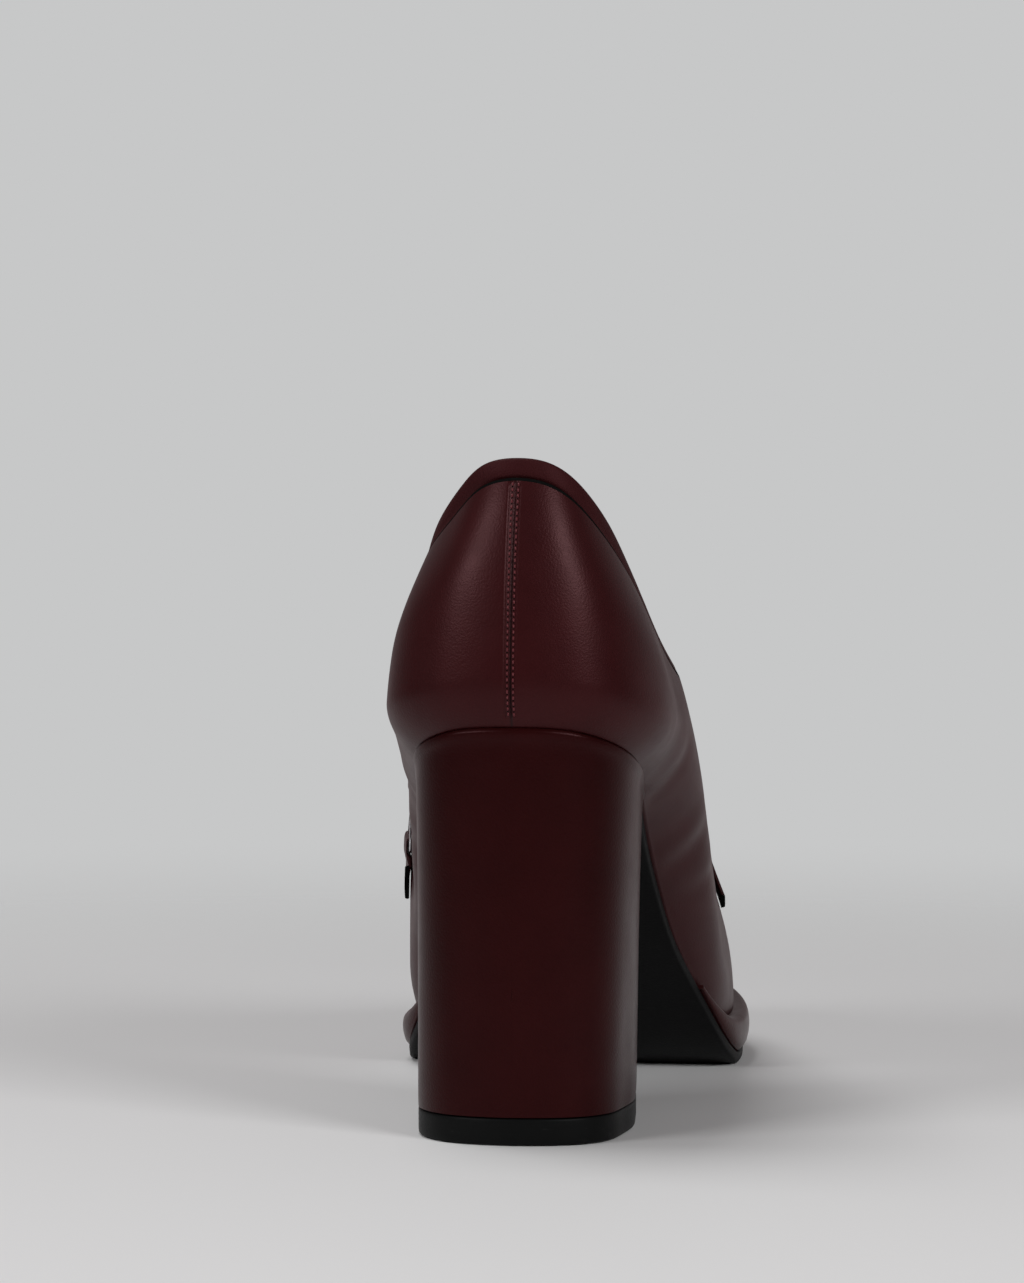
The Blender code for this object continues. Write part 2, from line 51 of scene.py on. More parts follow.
# Sizes shared with the solids, in millimetres or stations.
GAP = 0.3
WALL = 1.8
BAND = 4.2
BAND_GROWTH = 0.4
BAND_WIDEST = 2.6
BAND_SPREAD = 1.5
BAND_END = 7.5
TUCK_REACH = 26.0
THROAT = 9.0
TONGUE = 1.2
TOE = 18.0
INSOLE = 2.6
SOLE = 3.0
PLATFORM_TAIL = 10.0
PLATFORM_GROWN = 6.0
BREAST = 5.45
BREAST_REACH = 0.10
LIFT = 6.3
HEEL_LEAN = 4.5
HEEL_TAPER_X = 0.97
HEEL_SHIFT_X = -0.6
HEEL_TAPER_Y = 0.90
HEEL_ROUND = 0.6
LIFT_ROUND = 0.4
HEEL_CORNER = 1.5
HEEL_CORNER_Y = 25.0
HEEL_CORNER_REACH = 11.0
STRAP_STATION = 11.0
STRAP_Y = 142.5
STRAP_SKEW = 0.23
STRAP_MIDDLE_X = -8.0
RING_Z = {1: 66.0, -1: 62.5}
STRAP_HALF = 7.7
RING_HALF_LONG = 10.0
RING_HALF_TALL = 8.0
RING_CORNER = 2.4
BAR_HALF = 1.2
BAR_LOW = 0.92
BAR_HIGH = 1.6
TAB_LENGTH = {1: 17.1, -1: 10.0}
TAB_POINT = {1: -5.0, -1: -5.5}
TAB_LIFT = 0.8
LEVEL_FADE = 0.5
FOOT_DRAWN_IN = (-1.8, -1.0, -0.2)
FOOT_CLEAR = 0.03

# Shares of the wall's height: rows kept close at its foot, and where the relief fades out at foot and rim.
FOOT_SHARE = 0.06
RELIEF_FOOT = 0.05
RELIEF_RIM = 0.03

# Edges of strap and tabs, in millimetres: their rounding, the painted width and its fade, then the share of
# black on the long edges; the slanted ends are all black. The leather folds lie a little flatter than in the
# solids, which keep clear of each other.
EDGE_CORNER = 0.7
EDGE_PAINTED = 0.75
EDGE_FADE = 0.3
EDGE_TINT = 0.4
FOLD_FLAT = 0.78

# Back seam, in millimetres: a narrow trough darkened towards black as painted shade, less of it near the rim,
# a row of stitches on either side of it with black sunk dashes between them as painted shade for the holes,
# and the step beside the medial row. The rows run between two shares of the wall's height. The zone and its
# end are stations.
SEAM_ZONE = 0.55
SEAM_ZONE_END = 1.2
SEAM_TROUGH = 0.34
SEAM_TROUGH_HALF = 0.26
SEAM_TROUGH_SHADE = 0.85
SEAM_PALER = 0.55
SEAM_PALER_FROM = 0.6
SEAM_PALER_REACH = 0.25
SEAM_ROW = 0.66
SEAM_SWELL = 0.16
SEAM_SWELL_HALF = 0.55
SEAM_PULL = 0.10
SEAM_PULL_HALF = 0.2
SEAM_STEP = 0.30
SEAM_STEP_AT = 1.2
SEAM_STEP_HALF = 0.34
SEAM_STEP_INSIDE = 0.80
STITCH_PITCH = 1.3
STITCH_LENGTH = 0.98
STITCH_ROWS = (0.035, 0.985)
THREAD = 0.21
THREAD_BEDDED = 0.12
THREAD_SINK = 0.2
HOLE_SHADE_LENGTH = 0.36
HOLE_SHADE_SINK = 0.20

# The upper's rim: stations over which its roll fades out at the throat, then the black painted line along it:
# how far it shows on the outer face, at the back and beside the heel, and the station by which it has grown.
RIM_ROLL_FADE = 0.8
RIM_LINE_BACK = 0.06
RIM_LINE_SIDE = 0.50
RIM_LINE_GROWTH = 3.0

# One row per station from the back seam to the toe tip, as in the solids.
COLUMNS = ("edge_y", "edge_z", "edge_x", "edge_half", "bulge_lateral", "bulge_medial", "tuck_lateral",
           "tuck_medial", "rise", "crest_x", "crest_y", "crest_z", "crest_slope", "power_lateral",
           "power_medial", "collar_z", "platform", "welt")
STATIONS = np.array((
    (3.0, 92.4, 0.0, 0.0, 3.3, 3.3, 0.0, 0.0, 11.0, 1.3, 26.0, 164.0, 0.0, 2.2, 2.2, 150.6, 0.0, 0.0),
    (4.6, 92.0, 0.0, 10.0, 3.7, 3.7, 0.2, 1.4, 11.0, 1.3, 26.5, 163.0, 0.0, 2.2, 2.17, 149.4, 0.0, 0.0),
    (9.0, 90.2, 0.0, 17.5, 4.5, 4.8, 1.0, 2.4, 11.0, 1.2, 28.5, 159.0, 0.0, 2.09, 2.01, 144.8, 0.0, 0.0),
    (18.0, 86.8, 0.0, 23.0, 5.3, 6.6, 1.7, 2.1, 11.0, 0.8, 32.5, 150.3, 0.0, 2.12, 2.12, 136.5, 0.0, 0.0),
    (32.0, 82.4, -0.2, 25.0, 7.4, 6.4, 1.4, 1.1, 12.0, 0.5, 40.0, 140.5, 0.0, 2.1, 2.33, 125.0, 0.0, 0.0),
    (50.0, 77.6, -2.0, 25.4, 9.1, 6.5, 0.5, 0.4, 15.0, 0.0, 51.0, 134.0, -0.1, 2.11, 2.15, 111.5, 0.0, 0.0),
    (68.0, 69.6, -2.6, 24.8, 11.2, 8.4, 0.0, 0.0, 18.0, -0.8, 64.0, 130.0, -.25, 2.18, 2.23, 103.5, 0.0, 0.0),
    (84.0, 58.4, -2.0, 24.2, 11.7, 10.0, 0.0, 0.0, 21.0, -2.2, 76.0, 127.5, -.45, 2.22, 2.5, 102.0, 0.0, 0.0),
    (98.0, 46.6, -1.4, 24.6, 10.8, 11.0, 0.0, 0.0, 22.0, -3.6, 87.5, 125.0, -.65, 2.28, 2.8, 108.0, 0.0, 0.2),
    (112.0, 34.0, -1.9, 27.0, 8.8, 9.4, 0.0, 0.0, 20.0, -5.0, 98.5, 121.5, -0.85, 2.28, 3.3, 121.5, 0.0, 0.6),
    (126.0, 22.6, -3.0, 31.4, 5.7, 5.6, 0.0, 0.0, 16.0, -6.6, 110.0, 112.0, -0.93, 2.2, 3.9, 112.0, 1.2, 1.6),
    (140.0, 14.2, -4.2, 36.2, 2.4, 2.6, 0.0, 0.0, 12.0, -8.0, 124.0, 98.5, -0.94, 2.04, 4.0, 98.5, 5.3, 2.7),
    (155.0, 12.4, -4.5, 38.2, 0.6, 1.2, 0.0, 0.0, 10.0, -8.6, 139.0, 84.5, -0.88, 2.0, 3.4, 84.5, 9.5, 3.1),
    (170.0, 12.8, -4.2, 37.4, 0.0, 0.8, 0.0, 0.0, 10.0, -8.2, 155.0, 71.0, -0.78, 2.08, 2.9, 71.0, 9.9, 3.1),
    (186.0, 14.2, -3.8, 34.0, 0.4, 0.8, 0.0, 0.0, 10.0, -7.0, 172.0, 59.0, -.65, 2.14, 2.65, 59.0, 10.0, 3.1),
    (202.0, 16.2, -3.5, 26.8, 0.8, 0.9, 0.0, 0.0, 10.0, -5.6, 184.0, 51.5, -0.57, 2.2, 2.35, 51.5, 9.8, 3.1),
    (214.0, 18.2, -3.3, 18.0, 1.0, 1.0, 0.0, 0.0, 10.0, -4.4, 192.0, 47.2, -0.51, 2.2, 2.25, 47.2, 9.8, 3.1),
    (221.5, 19.7, -3.2, 9.0, 1.0, 1.0, 0.0, 0.0, 10.0, -3.5, 196.5, 45.0, -0.49, 2.2, 2.2, 45.0, 9.8, 3.1),
    (224.0, 20.2, -3.2, 0.0, 1.0, 1.0, 0.0, 0.0, 10.0, -3.2, 198.0, 44.2, -0.49, 2.2, 2.2, 44.2, 9.8, 3.1),
))

# A leather end folded round a ring's bar: way and height of its outer face, then of its inner face.
HOOK = np.array((
    (4.4, 1.6, 4.4, 0.3),
    (2.7, 2.1, 2.5, 0.3),
    (1.6, 2.38, 1.55, 1.8),
    (0.0, 2.42, 0.0, 1.84),
    (-1.4, 2.36, -1.4, 1.8),
    (-2.2, 1.95, -1.55, 1.55),
    (-2.4, 1.3, -1.6, 1.25),
    (-2.2, 0.68, -1.55, 0.95),
    (-1.4, 0.3, -1.4, 0.72),
    (0.0, 0.3, 0.0, 0.7),
    (1.5, 0.3, 1.5, 0.7),
))

# Edge profiles: share of the height, and how far out of the outline.
PLATFORM_EDGE = ((0.0, -1.3), (0.03, -0.5), (0.18, 0.3), (0.5, 0.8), (0.78, 0.6), (0.92, 0.0), (1.0, -1.1))
HEEL_EDGE = ((0.0, -0.5), (0.006, -0.05), (0.2, -0.1), (0.45, -0.2), (0.7, -0.2), (0.9, -0.05), (0.955, 0.05),
             (0.976, 0.40), (0.989, 0.46), (0.996, 0.15), (1.0, -0.45))
SOLE_EDGE = ((0.0, -1.9), (0.06, -1.35), (0.2, -0.95), (0.6, -0.8), (0.92, -0.8), (1.0, -1.05))
LIFT_EDGE = ((0.0, -0.9), (0.05, -0.4), (0.14, -0.12), (0.6, -0.08), (0.93, -0.1), (1.0, -0.35))
INSOLE_EDGE = ((0.0, 0.0), (0.5, 0.0), (0.8, -0.15), (0.95, -0.5), (1.0, -1.1))

# Binding's section: share of the strip's height above the upper's rim, height off the last's surface, and how
# much further out it stands round the back, where the strip flares. The flare ends at a station on either
# side. The strip's own ends are rounded over a few stations, and its section never gets lower than a sliver.
BINDING_SECTION = ((-0.35, -1.45, 0.0), (-0.02, -1.3, 0.0), (0.07, -0.75, -0.05), (0.16, -0.42, -0.03),
                   (0.45, -0.26, 0.21), (0.8, -0.36, 0.56), (0.95, -0.62, 0.67), (1.0, -1.0, 0.60),
                   (0.95, -1.42, 0.47), (0.8, -1.75, 0.30), (0.4, -2.15, 0.15), (-0.02, -2.3, 0.0),
                   (-0.35, -1.95, 0.0))
FLARE_END = {1: 4.8, -1: 3.9}
FLARE_FADE = 2.0
BAND_END_REACH = 0.6
BAND_SLIVER = 0.35
STEEPEST_PACE = 1.4

# Soft creases on the upper: side, middle y and z, slope in degrees, half length, half width and depth.
CREASES = (
    (1, 67.0, 78.0, 80.0, 8.0, 4.0, 0.45),
    (1, 96.5, 59.0, 58.0, 7.0, 4.0, 0.40),
    (1, 110.0, 50.0, 30.0, 7.0, 3.5, 0.30),
    (-1, 80.0, 72.0, 75.0, 9.0, 4.0, 0.40),
    (-1, 100.0, 57.0, 55.0, 8.0, 4.0, 0.30),
)

# The photograph's view: turn to the lateral side, camera height, distance to the heel and lens.
IMAGE_WIDTH = 1024
IMAGE_HEIGHT = 1283
VIEW_TURN = math.radians(7.5)
VIEW_PIVOT = np.array((0.0, 37.0, 0.0))
VIEW_LEFT = 4.4
CAMERA_HEIGHT = 175.0
HEEL_DISTANCE = 1229.2
FOCAL_PIXELS = 5524.0
HORIZON_ROW = 345.0
SENSOR = 36.0

# Studio: radii in metres between which the floor thins out, the backdrop's tone, brightness of the surround,
# the directions, up and ahead, over which it changes, and its tint.
FLOOR_FULL = 0.18
FLOOR_RIM = 0.75
FLOOR_AHEAD = -0.10
BACKDROP = (0.572, 0.576, 0.578, 1.0)
SURROUND_DIM = 0.05
SURROUND_WALL = 0.24
SURROUND_FLOOR = 0.45
SURROUND_HORIZON = 0.12
SURROUND_AHEAD = (-0.05, 0.80)
SURROUND_TINT = (1.0, 0.91, 0.915, 1.0)


def along(name, s):
    """A column's value at station s: a cubic spline through the rows, mirrored past back seam and toe."""
    rows = STATIONS[:, COLUMNS.index(name)]
    pad = 6
    sign = -1.0 if name == "edge_half" else 1.0
    knots = np.concatenate((sign * rows[pad:0:-1], rows, sign * rows[-2:-2 - pad:-1]))
    count = len(knots)
    system = np.eye(count)
    inner = np.arange(1, count - 1)
    system[inner, inner] = 4.0
    system[inner, inner - 1] = 1.0
    system[inner, inner + 1] = 1.0
    jumps = np.zeros(count)
    jumps[1:-1] = 6.0 * (knots[2:] - 2.0 * knots[1:-1] + knots[:-2])
    bend = np.linalg.solve(system, jumps)
    t = np.clip(np.asarray(s, float) + pad, 0.0, count - 1.001)
    i = np.floor(t).astype(int)
    b = t - i
    a = 1.0 - b
    return a * knots[i] + b * knots[i + 1] + ((a ** 3 - a) * bend[i] + (b ** 3 - b) * bend[i + 1]) / 6.0


def outline(s, side, out=0.0):
    """Plan position on the sole's edge line, moved outwards by out along the line's normal."""
    step = 0.01
    x = along("edge_x", s) + side * along("edge_half", s)
    y = along("edge_y", s)
    run_x = along("edge_x", s + step) - along("edge_x", s - step)
    run_x = run_x + side * (along("edge_half", s + step) - along("edge_half", s - step))
    run_y = along("edge_y", s + step) - along("edge_y", s - step)
    length = np.hypot(run_x, run_y)
    return x + side * out * run_y / length, y - side * out * run_x / length


def roundness(s, side):
    """Power of the arch on either side of the shoe."""
    return np.where(np.asarray(side) > 0, along("power_lateral", s), along("power_medial", s))


def fullness(s, side):
    """How far the wall stands out beyond the edge line on either side of the shoe."""
    return np.where(np.asarray(side) > 0, along("bulge_lateral", s), along("bulge_medial", s))


def tuck(s, side, below):
    """How far the wall is drawn in at a height below the collar: most at the binding's foot, so that the
    binding flares from there up to the rim, easing out again further down the wall."""
    amount = np.where(np.asarray(side) > 0, along("tuck_lateral", s), along("tuck_medial", s))
    away = np.clip((below - BAND) / (TUCK_REACH - BAND), 0.0, 1.0)
    return amount * np.clip(below / BAND, 0.0, 1.0) * (1.0 - away * away * (3.0 - 2.0 * away))


def surface(s, angle, side):
    """The last's surface: at each station a superellipse arch from the edge line to the crest, with its foot
    drawn in by the bulge and its top sheared to follow the crest's slope."""
    power = roundness(s, side)
    size = (np.cos(angle) ** power + np.sin(angle) ** power) ** (1.0 / power)
    reach = np.cos(angle) / size
    height = np.sin(angle) / size
    rise = along("crest_z", s) - along("edge_z", s)
    climb = np.clip(height * rise / along("rise", s), 0.0, 1.0)
    below = along("collar_z", s) - along("edge_z", s) - rise * height
    base_x, base_y = outline(s, side, fullness(s, side) * climb * (2.0 - climb) - tuck(s, side, below))
    crest_x = along("crest_x", s)
    crest_y = along("crest_y", s)
    x = crest_x + (base_x - crest_x) * reach
    y = crest_y + (base_y - crest_y) * reach
    lean = along("crest_slope", s) * (base_y - crest_y) * reach * (1.0 - reach)
    return np.stack((x, y, along("edge_z", s) + rise * height + lean), axis=-1)


def normals(s, angle, side):
    """Outward unit normals of the last: cross product of its two directions, the crest's own at the top."""
    step = 0.004
    low = np.clip(angle - step, 0.0, np.pi / 2 - 2 * step)
    high = low + 2 * step
    flat = np.clip(angle, 0.0, np.pi / 2 - step)
    way = surface(s + step, flat, side) - surface(s - step, flat, side)
    climb = surface(s, high, side) - surface(s, low, side)
    normal = np.asarray(side, float)[..., None] * np.cross(way, climb)
    slope = along("crest_slope", s) + 0.0 * angle
    top = np.stack((0.0 * slope, -slope, 1.0 + 0.0 * slope), axis=-1)
    normal = np.where((angle > np.pi / 2 - 1e-6)[..., None], top, normal)
    return normal / np.linalg.norm(normal, axis=-1, keepdims=True)


def raised(s, angle, side, height):
    """A point at a height above the last's surface, measured square to it."""
    angle = np.clip(angle, 0.0, np.pi / 2)
    return surface(s, angle, side) + normals(s, angle, side) * np.asarray(height)[..., None]


def angle_at(s, z, side):
    """Arch angle at which the last's surface passes a height."""
    share = np.clip((z - along("edge_z", s)) / (along("crest_z", s) - along("edge_z", s)), 0.0, 1.0)
    power = roundness(s, side)
    return np.arctan2(share, np.maximum(1.0 - share ** power, 0.0) ** (1.0 / power))


def collar_angle(s, side):
    """Arch angle of the opening's rim, which crosses the crest in a straight line at the throat."""
    power = roundness(s, side)
    reach = np.clip((THROAT - s) / TONGUE, 0.0, 1.0)
    straight = np.arctan2((1.0 - reach ** power) ** (1.0 / power), reach)
    return np.maximum(angle_at(s, along("collar_z", s), side), straight)


def pace(s, angle, side):
    """Millimetres of surface per radian of arch angle."""
    step = 0.002
    climb = surface(s, angle + step, side) - surface(s, angle - step, side)
    return np.linalg.norm(climb, axis=-1) / (2 * step)


def rim_pace(s, angle, side):
    """Millimetres per radian at a rim, read a little below the crest, where the arch has no direction."""
    return pace(s, np.minimum(angle, STEEPEST_PACE), side)


def band_height(s):
    """Height of the binding's visible strip: taller beside the heel than at the back, nothing at its ends."""
    grown = 1.0 + BAND_GROWTH * np.exp(-((s - BAND_WIDEST) / BAND_SPREAD) ** 2)
    return BAND * grown * np.clip(1.0 - (s / BAND_END) ** 4, 0.0, 1.0)


def quarter_angle(s, side):
    """Arch angle of the upper's own rim, below the binding."""
    rim = collar_angle(s, side)
    return rim - band_height(s) / rim_pace(s, rim, side)


def ground(s):
    """Height of the outsole's underside: flat on the floor under the ball."""
    return np.maximum(along("edge_z", s) - GAP - np.maximum(along("platform", s), 0.0) - SOLE, 0.0)


def ease(t):
    """Smooth step from 0 to 1."""
    t = np.clip(t, 0.0, 1.0)
    return t * t * (3.0 - 2.0 * t)


def spread(column, row):
    """A value per column, repeated over the rows of a grid."""
    return column[:, None] + 0.0 * row


def rounded(points, count, closed=False):
    """A smooth line through a few points: Catmull-Rom pieces, sampled evenly in number."""
    knots = np.asarray(points, float)
    if closed:
        padded = np.concatenate((knots[-1:], knots, knots[:2]))
        t = np.linspace(0.0, len(knots), count, endpoint=False)
    else:
        padded = np.concatenate((2 * knots[:1] - knots[1:2], knots, 2 * knots[-1:] - knots[-2:-1]))
        t = np.linspace(0.0, len(knots) - 1, count)
    i = np.minimum(t.astype(int), len(padded) - 4)
    u = (t - i)[:, None]
    a, b, c, d = (padded[i + k] for k in range(4))
    bend = (2 * a - 5 * b + 4 * c - d) * u ** 2 + (3 * b - a - 3 * c + d) * u ** 3
    return 0.5 * (2 * b + (c - a) * u + bend)


def grid_quads(rows, columns, close_rows=False, close_columns=False):
    """Corner numbers of a grid's quads, with either direction joined end to start."""
    i = np.arange(rows if close_rows else rows - 1)[:, None]
    j = np.arange(columns if close_columns else columns - 1)[None, :]
    after_i = (i + 1) % rows
    after_j = (j + 1) % columns
    corners = (i * columns + j, after_i * columns + j, after_i * columns + after_j, i * columns + after_j)
    return np.stack(np.broadcast_arrays(*corners), axis=-1).reshape(-1, 4)


def make_piece(name, points, quads, finishes, slot, nodes=(), marks=None, finish_of=None, crisp=55.0):
    """Put points in millimetres and quads into a welded mesh at the frame's origin, riding on the one body.

    marks are values per point that the finish reads by name; finish_of picks one of the finishes per quad.
    """
    mesh = bpy.data.meshes.new(name)
    places = (points.reshape(-1, 3) - ORIGIN) * MM
    mesh.from_pydata(places.tolist(), [], quads.tolist())
    for mark, values in (marks or {}).items():
        layer = mesh.attributes.new(mark, "FLOAT", "POINT")
        layer.data.foreach_set("value", np.ravel(values).astype(np.float32))
    for finish in finishes:
        mesh.materials.append(finish)
    if finish_of is not None:
        mesh.polygons.foreach_set("material_index", np.ravel(finish_of).astype(np.int32))
    work = bmesh.new()
    work.from_mesh(mesh)
    bmesh.ops.remove_doubles(work, verts=work.verts, dist=WELD)
    bmesh.ops.dissolve_degenerate(work, edges=work.edges, dist=0.5 * WELD)
    bmesh.ops.recalc_face_normals(work, faces=work.faces)
    work.to_mesh(mesh)
    work.free()
    mesh.polygons.foreach_set("use_smooth", np.ones(len(mesh.polygons), bool))
    mesh.set_sharp_from_angle(angle=math.radians(crisp))
    piece = bpy.data.objects.new(name, mesh)
    bpy.context.scene.collection.objects.link(piece)
    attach(piece, "root")
    if nodes:
        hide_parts(*nodes)
    return piece


def node_maker(tree):
    """Short hand for adding nodes with input values to a tree."""
    def add(kind, **values):
        node = tree.nodes.new(kind)
        for key, value in values.items():
            if key in node.inputs:
                node.inputs[key].default_value = value
            else:
                setattr(node, key, value)
        return node
    return add


def noise(add, link, **values):
    """Noise on the piece's own coordinates."""
    place = add("ShaderNodeTexCoord")
    node = add("ShaderNodeTexNoise", **values)
    link(place.outputs["Object"], node.inputs["Vector"])
    return node.outputs["Fac"]


def blend(add, link, first, second, factor):
    """A colour between two by a factor."""
    mix = add("ShaderNodeMix", data_type="RGBA")
    mix.inputs["A"].default_value = (*first, 1.0)
    mix.inputs["B"].default_value = (*second, 1.0)
    link(factor, mix.inputs["Factor"])
    return mix.outputs["Result"]


def embossed(add, link, shader, height, depth, strength=1.0):
    """Fine relief on a shader: a height pattern of a depth in metres."""
    bump = add("ShaderNodeBump", Strength=strength, Distance=depth)
    link(height, bump.inputs["Height"])
    link(bump.outputs["Normal"], shader.inputs["Normal"])


def span(low, high, start, end):
    """Inputs of a Map Range node: a range and what it becomes."""
    return {"From Min": low, "From Max": high, "To Min": start, "To Max": end}


def leather_grain_group():
    """Pebbled leather: rounded cells between fine valleys, broken up by noise, and a slow change of tone."""
    tree = bpy.data.node_groups.new("leather_grain", "ShaderNodeTree")
    tree.interface.new_socket("Cells", in_out="INPUT", socket_type="NodeSocketFloat").default_value = 1400.0
    tree.interface.new_socket("Height", in_out="OUTPUT", socket_type="NodeSocketFloat")
    tree.interface.new_socket("Tone", in_out="OUTPUT", socket_type="NodeSocketFloat")
    tree.interface.new_socket("Dull", in_out="OUTPUT", socket_type="NodeSocketFloat")
    add = node_maker(tree)
    link = tree.links.new
    given = add("NodeGroupInput")
    out = add("NodeGroupOutput")
    place = add("ShaderNodeTexCoord")
    warp = add("ShaderNodeTexNoise", Scale=420.0, Detail=3.0)
    link(place.outputs["Object"], warp.inputs["Vector"])
    shift = add("ShaderNodeVectorMath", operation="MULTIPLY_ADD")
    shift.inputs[1].default_value = (0.0012, 0.0012, 0.0012)
    link(warp.outputs["Color"], shift.inputs[0])
    link(place.outputs["Object"], shift.inputs[2])
    cells = add("ShaderNodeTexVoronoi", feature="SMOOTH_F1", Smoothness=0.35, Randomness=1.0)
    link(given.outputs["Cells"], cells.inputs["Scale"])
    link(shift.outputs["Vector"], cells.inputs["Vector"])
    fine = noise(add, link, Scale=3600.0, Detail=2.0)
    pebble = add("ShaderNodeMath", operation="MULTIPLY_ADD")
    pebble.inputs[1].default_value = -1.0
    link(cells.outputs["Distance"], pebble.inputs[0])
    half_fine = add("ShaderNodeMath", operation="MULTIPLY")
    half_fine.inputs[1].default_value = 0.35
    link(fine, half_fine.inputs[0])
    link(half_fine.outputs["Value"], pebble.inputs[2])
    link(pebble.outputs["Value"], out.inputs["Height"])
    tone = add("ShaderNodeMapRange", **span(0.3, 0.7, 0.86, 1.12))
    link(noise(add, link, Scale=55.0, Detail=4.0, Roughness=0.6), tone.inputs["Value"])
    link(tone.outputs["Result"], out.inputs["Tone"])
    dull = add("ShaderNodeMapRange", **span(0.35, 0.7, -0.025, 0.035))
    link(noise(add, link, Scale=120.0, Detail=5.0, Roughness=0.65), dull.inputs["Value"])
    link(dull.outputs["Result"], out.inputs["Dull"])
    return tree


def scuff_group():
    """Rubbed spots: thin stretched noise cut off at a high level, as a mask from 0 to 1."""
    tree = bpy.data.node_groups.new("scuffs", "ShaderNodeTree")
    tree.interface.new_socket("Amount", in_out="INPUT", socket_type="NodeSocketFloat").default_value = 0.1
    tree.interface.new_socket("Mask", in_out="OUTPUT", socket_type="NodeSocketFloat")
    add = node_maker(tree)
    link = tree.links.new
    given = add("NodeGroupInput")
    out = add("NodeGroupOutput")
    place = add("ShaderNodeTexCoord")
    turn = add("ShaderNodeMapping")
    turn.inputs["Rotation"].default_value = (0.3, 0.2, 0.5)
    turn.inputs["Scale"].default_value = (90.0, 420.0, 900.0)
    link(place.outputs["Object"], turn.inputs["Vector"])
    rub = add("ShaderNodeTexNoise", Scale=1.0, Detail=6.0, Roughness=0.7)
    link(turn.outputs["Vector"], rub.inputs["Vector"])
    cut = add("ShaderNodeMapRange", **span(0.62, 0.82, 0.0, 1.0))
    link(rub.outputs["Fac"], cut.inputs["Value"])
    weigh = add("ShaderNodeMath", operation="MULTIPLY")
    link(cut.outputs["Result"], weigh.inputs[0])
    link(given.outputs["Amount"], weigh.inputs[1])
    link(weigh.outputs["Value"], out.inputs["Mask"])
    return tree


GRAIN = leather_grain_group()
SCUFFS = scuff_group()


def new_finish(name):
    """An empty material with its shader and the short hands for its nodes and links."""
    finish = bpy.data.materials.new(name)
    finish.use_nodes = True
    tree = finish.node_tree
    return finish, tree.nodes["Principled BSDF"], node_maker(tree), tree.links.new


def leather(name, colour, roughness, cells, depth, shine=0.25, coat=0.0, black_edge_and_seam_shade=None):
    """Dyed leather: pebbled bump, uneven dye and gloss; the mark named by black_edge_and_seam_shade turns it
    black: black edges on strap and tabs, painted shade in the upper's seam trough.
    """
    finish, shader, add, link = new_finish(name)
    grain = add("ShaderNodeGroup", node_tree=GRAIN)
    grain.inputs["Cells"].default_value = cells
    dye = add("ShaderNodeMix", data_type="RGBA", blend_type="MULTIPLY")
    dye.inputs["Factor"].default_value = 1.0
    dye.inputs["A"].default_value = (*colour, 1.0)
    tone = add("ShaderNodeCombineColor")
    for channel in ("Red", "Green", "Blue"):
        link(grain.outputs["Tone"], tone.inputs[channel])
    link(tone.outputs["Color"], dye.inputs["B"])
    gloss = add("ShaderNodeMath", operation="ADD")
    gloss.inputs[1].default_value = roughness
    link(grain.outputs["Dull"], gloss.inputs[0])
    colour_out = dye.outputs["Result"]
    # Black mixed in by the mark: edge colour on strap and tabs, painted shade in the upper's seam trough.
    if black_edge_and_seam_shade:
        mark = add("ShaderNodeAttribute", attribute_name=black_edge_and_seam_shade)
        painted = add("ShaderNodeMix", data_type="RGBA")
        painted.inputs["B"].default_value = (0.006, 0.005, 0.005, 1.0)
        link(mark.outputs["Fac"], painted.inputs["Factor"])
        link(colour_out, painted.inputs["A"])
        colour_out = painted.outputs["Result"]
    link(colour_out, shader.inputs["Base Color"])
    link(gloss.outputs["Value"], shader.inputs["Roughness"])
    embossed(add, link, shader, grain.outputs["Height"], depth)
    shader.inputs["Specular IOR Level"].default_value = shine
    shader.inputs["Specular Tint"].default_value = (1.0, 0.50, 0.53, 1.0)
    shader.inputs["Coat Weight"].default_value = coat
    shader.inputs["Coat Roughness"].default_value = 0.28
    return finish


def black_rubber(name, colour, roughness, depth, rubbed):
    """Black sole or lift: fine speckle in the bump and grey rubbed spots."""
    finish, shader, add, link = new_finish(name)
    speckle = noise(add, link, Scale=1500.0, Detail=4.0)
    scuffs = add("ShaderNodeGroup", node_tree=SCUFFS)
    scuffs.inputs["Amount"].default_value = rubbed
    grey = blend(add, link, colour, (0.075, 0.073, 0.070), scuffs.outputs["Mask"])
    link(grey, shader.inputs["Base Color"])
    gloss = add("ShaderNodeMath", operation="MULTIPLY_ADD")
    gloss.inputs[1].default_value = 0.16
    gloss.inputs[2].default_value = roughness - 0.08
    link(speckle, gloss.inputs[0])
    link(gloss.outputs["Value"], shader.inputs["Roughness"])
    shader.inputs["Specular IOR Level"].default_value = 0.08
    embossed(add, link, shader, speckle, depth)
    return finish


def silver_metal():
    """Polished ring metal with faint handling marks in its gloss."""
    finish, shader, add, link = new_finish("silver_metal")
    shader.inputs["Base Color"].default_value = (0.66, 0.67, 0.69, 1.0)
    shader.inputs["Metallic"].default_value = 1.0
    rubbed = add("ShaderNodeGroup", node_tree=SCUFFS)
    rubbed.inputs["Amount"].default_value = 0.25
    gloss = add("ShaderNodeMath", operation="ADD")
    gloss.inputs[1].default_value = 0.14
    link(rubbed.outputs["Mask"], gloss.inputs[0])
    link(gloss.outputs["Value"], shader.inputs["Roughness"])
    return finish


def black_edge_and_hole_shade():
    """Matt black painted finish on cut leather edges, a little uneven in tone; also painted shade for the
    seam's stitch holes.
    """
    finish, shader, add, link = new_finish("black_edge_and_hole_shade")
    cloud = noise(add, link, Scale=900.0, Detail=3.0)
    shade = blend(add, link, (0.0035, 0.0035, 0.0034), (0.0085, 0.0082, 0.0080), cloud)
    link(shade, shader.inputs["Base Color"])
    shader.inputs["Roughness"].default_value = 0.62
    shader.inputs["Specular IOR Level"].default_value = 0.0
    return finish


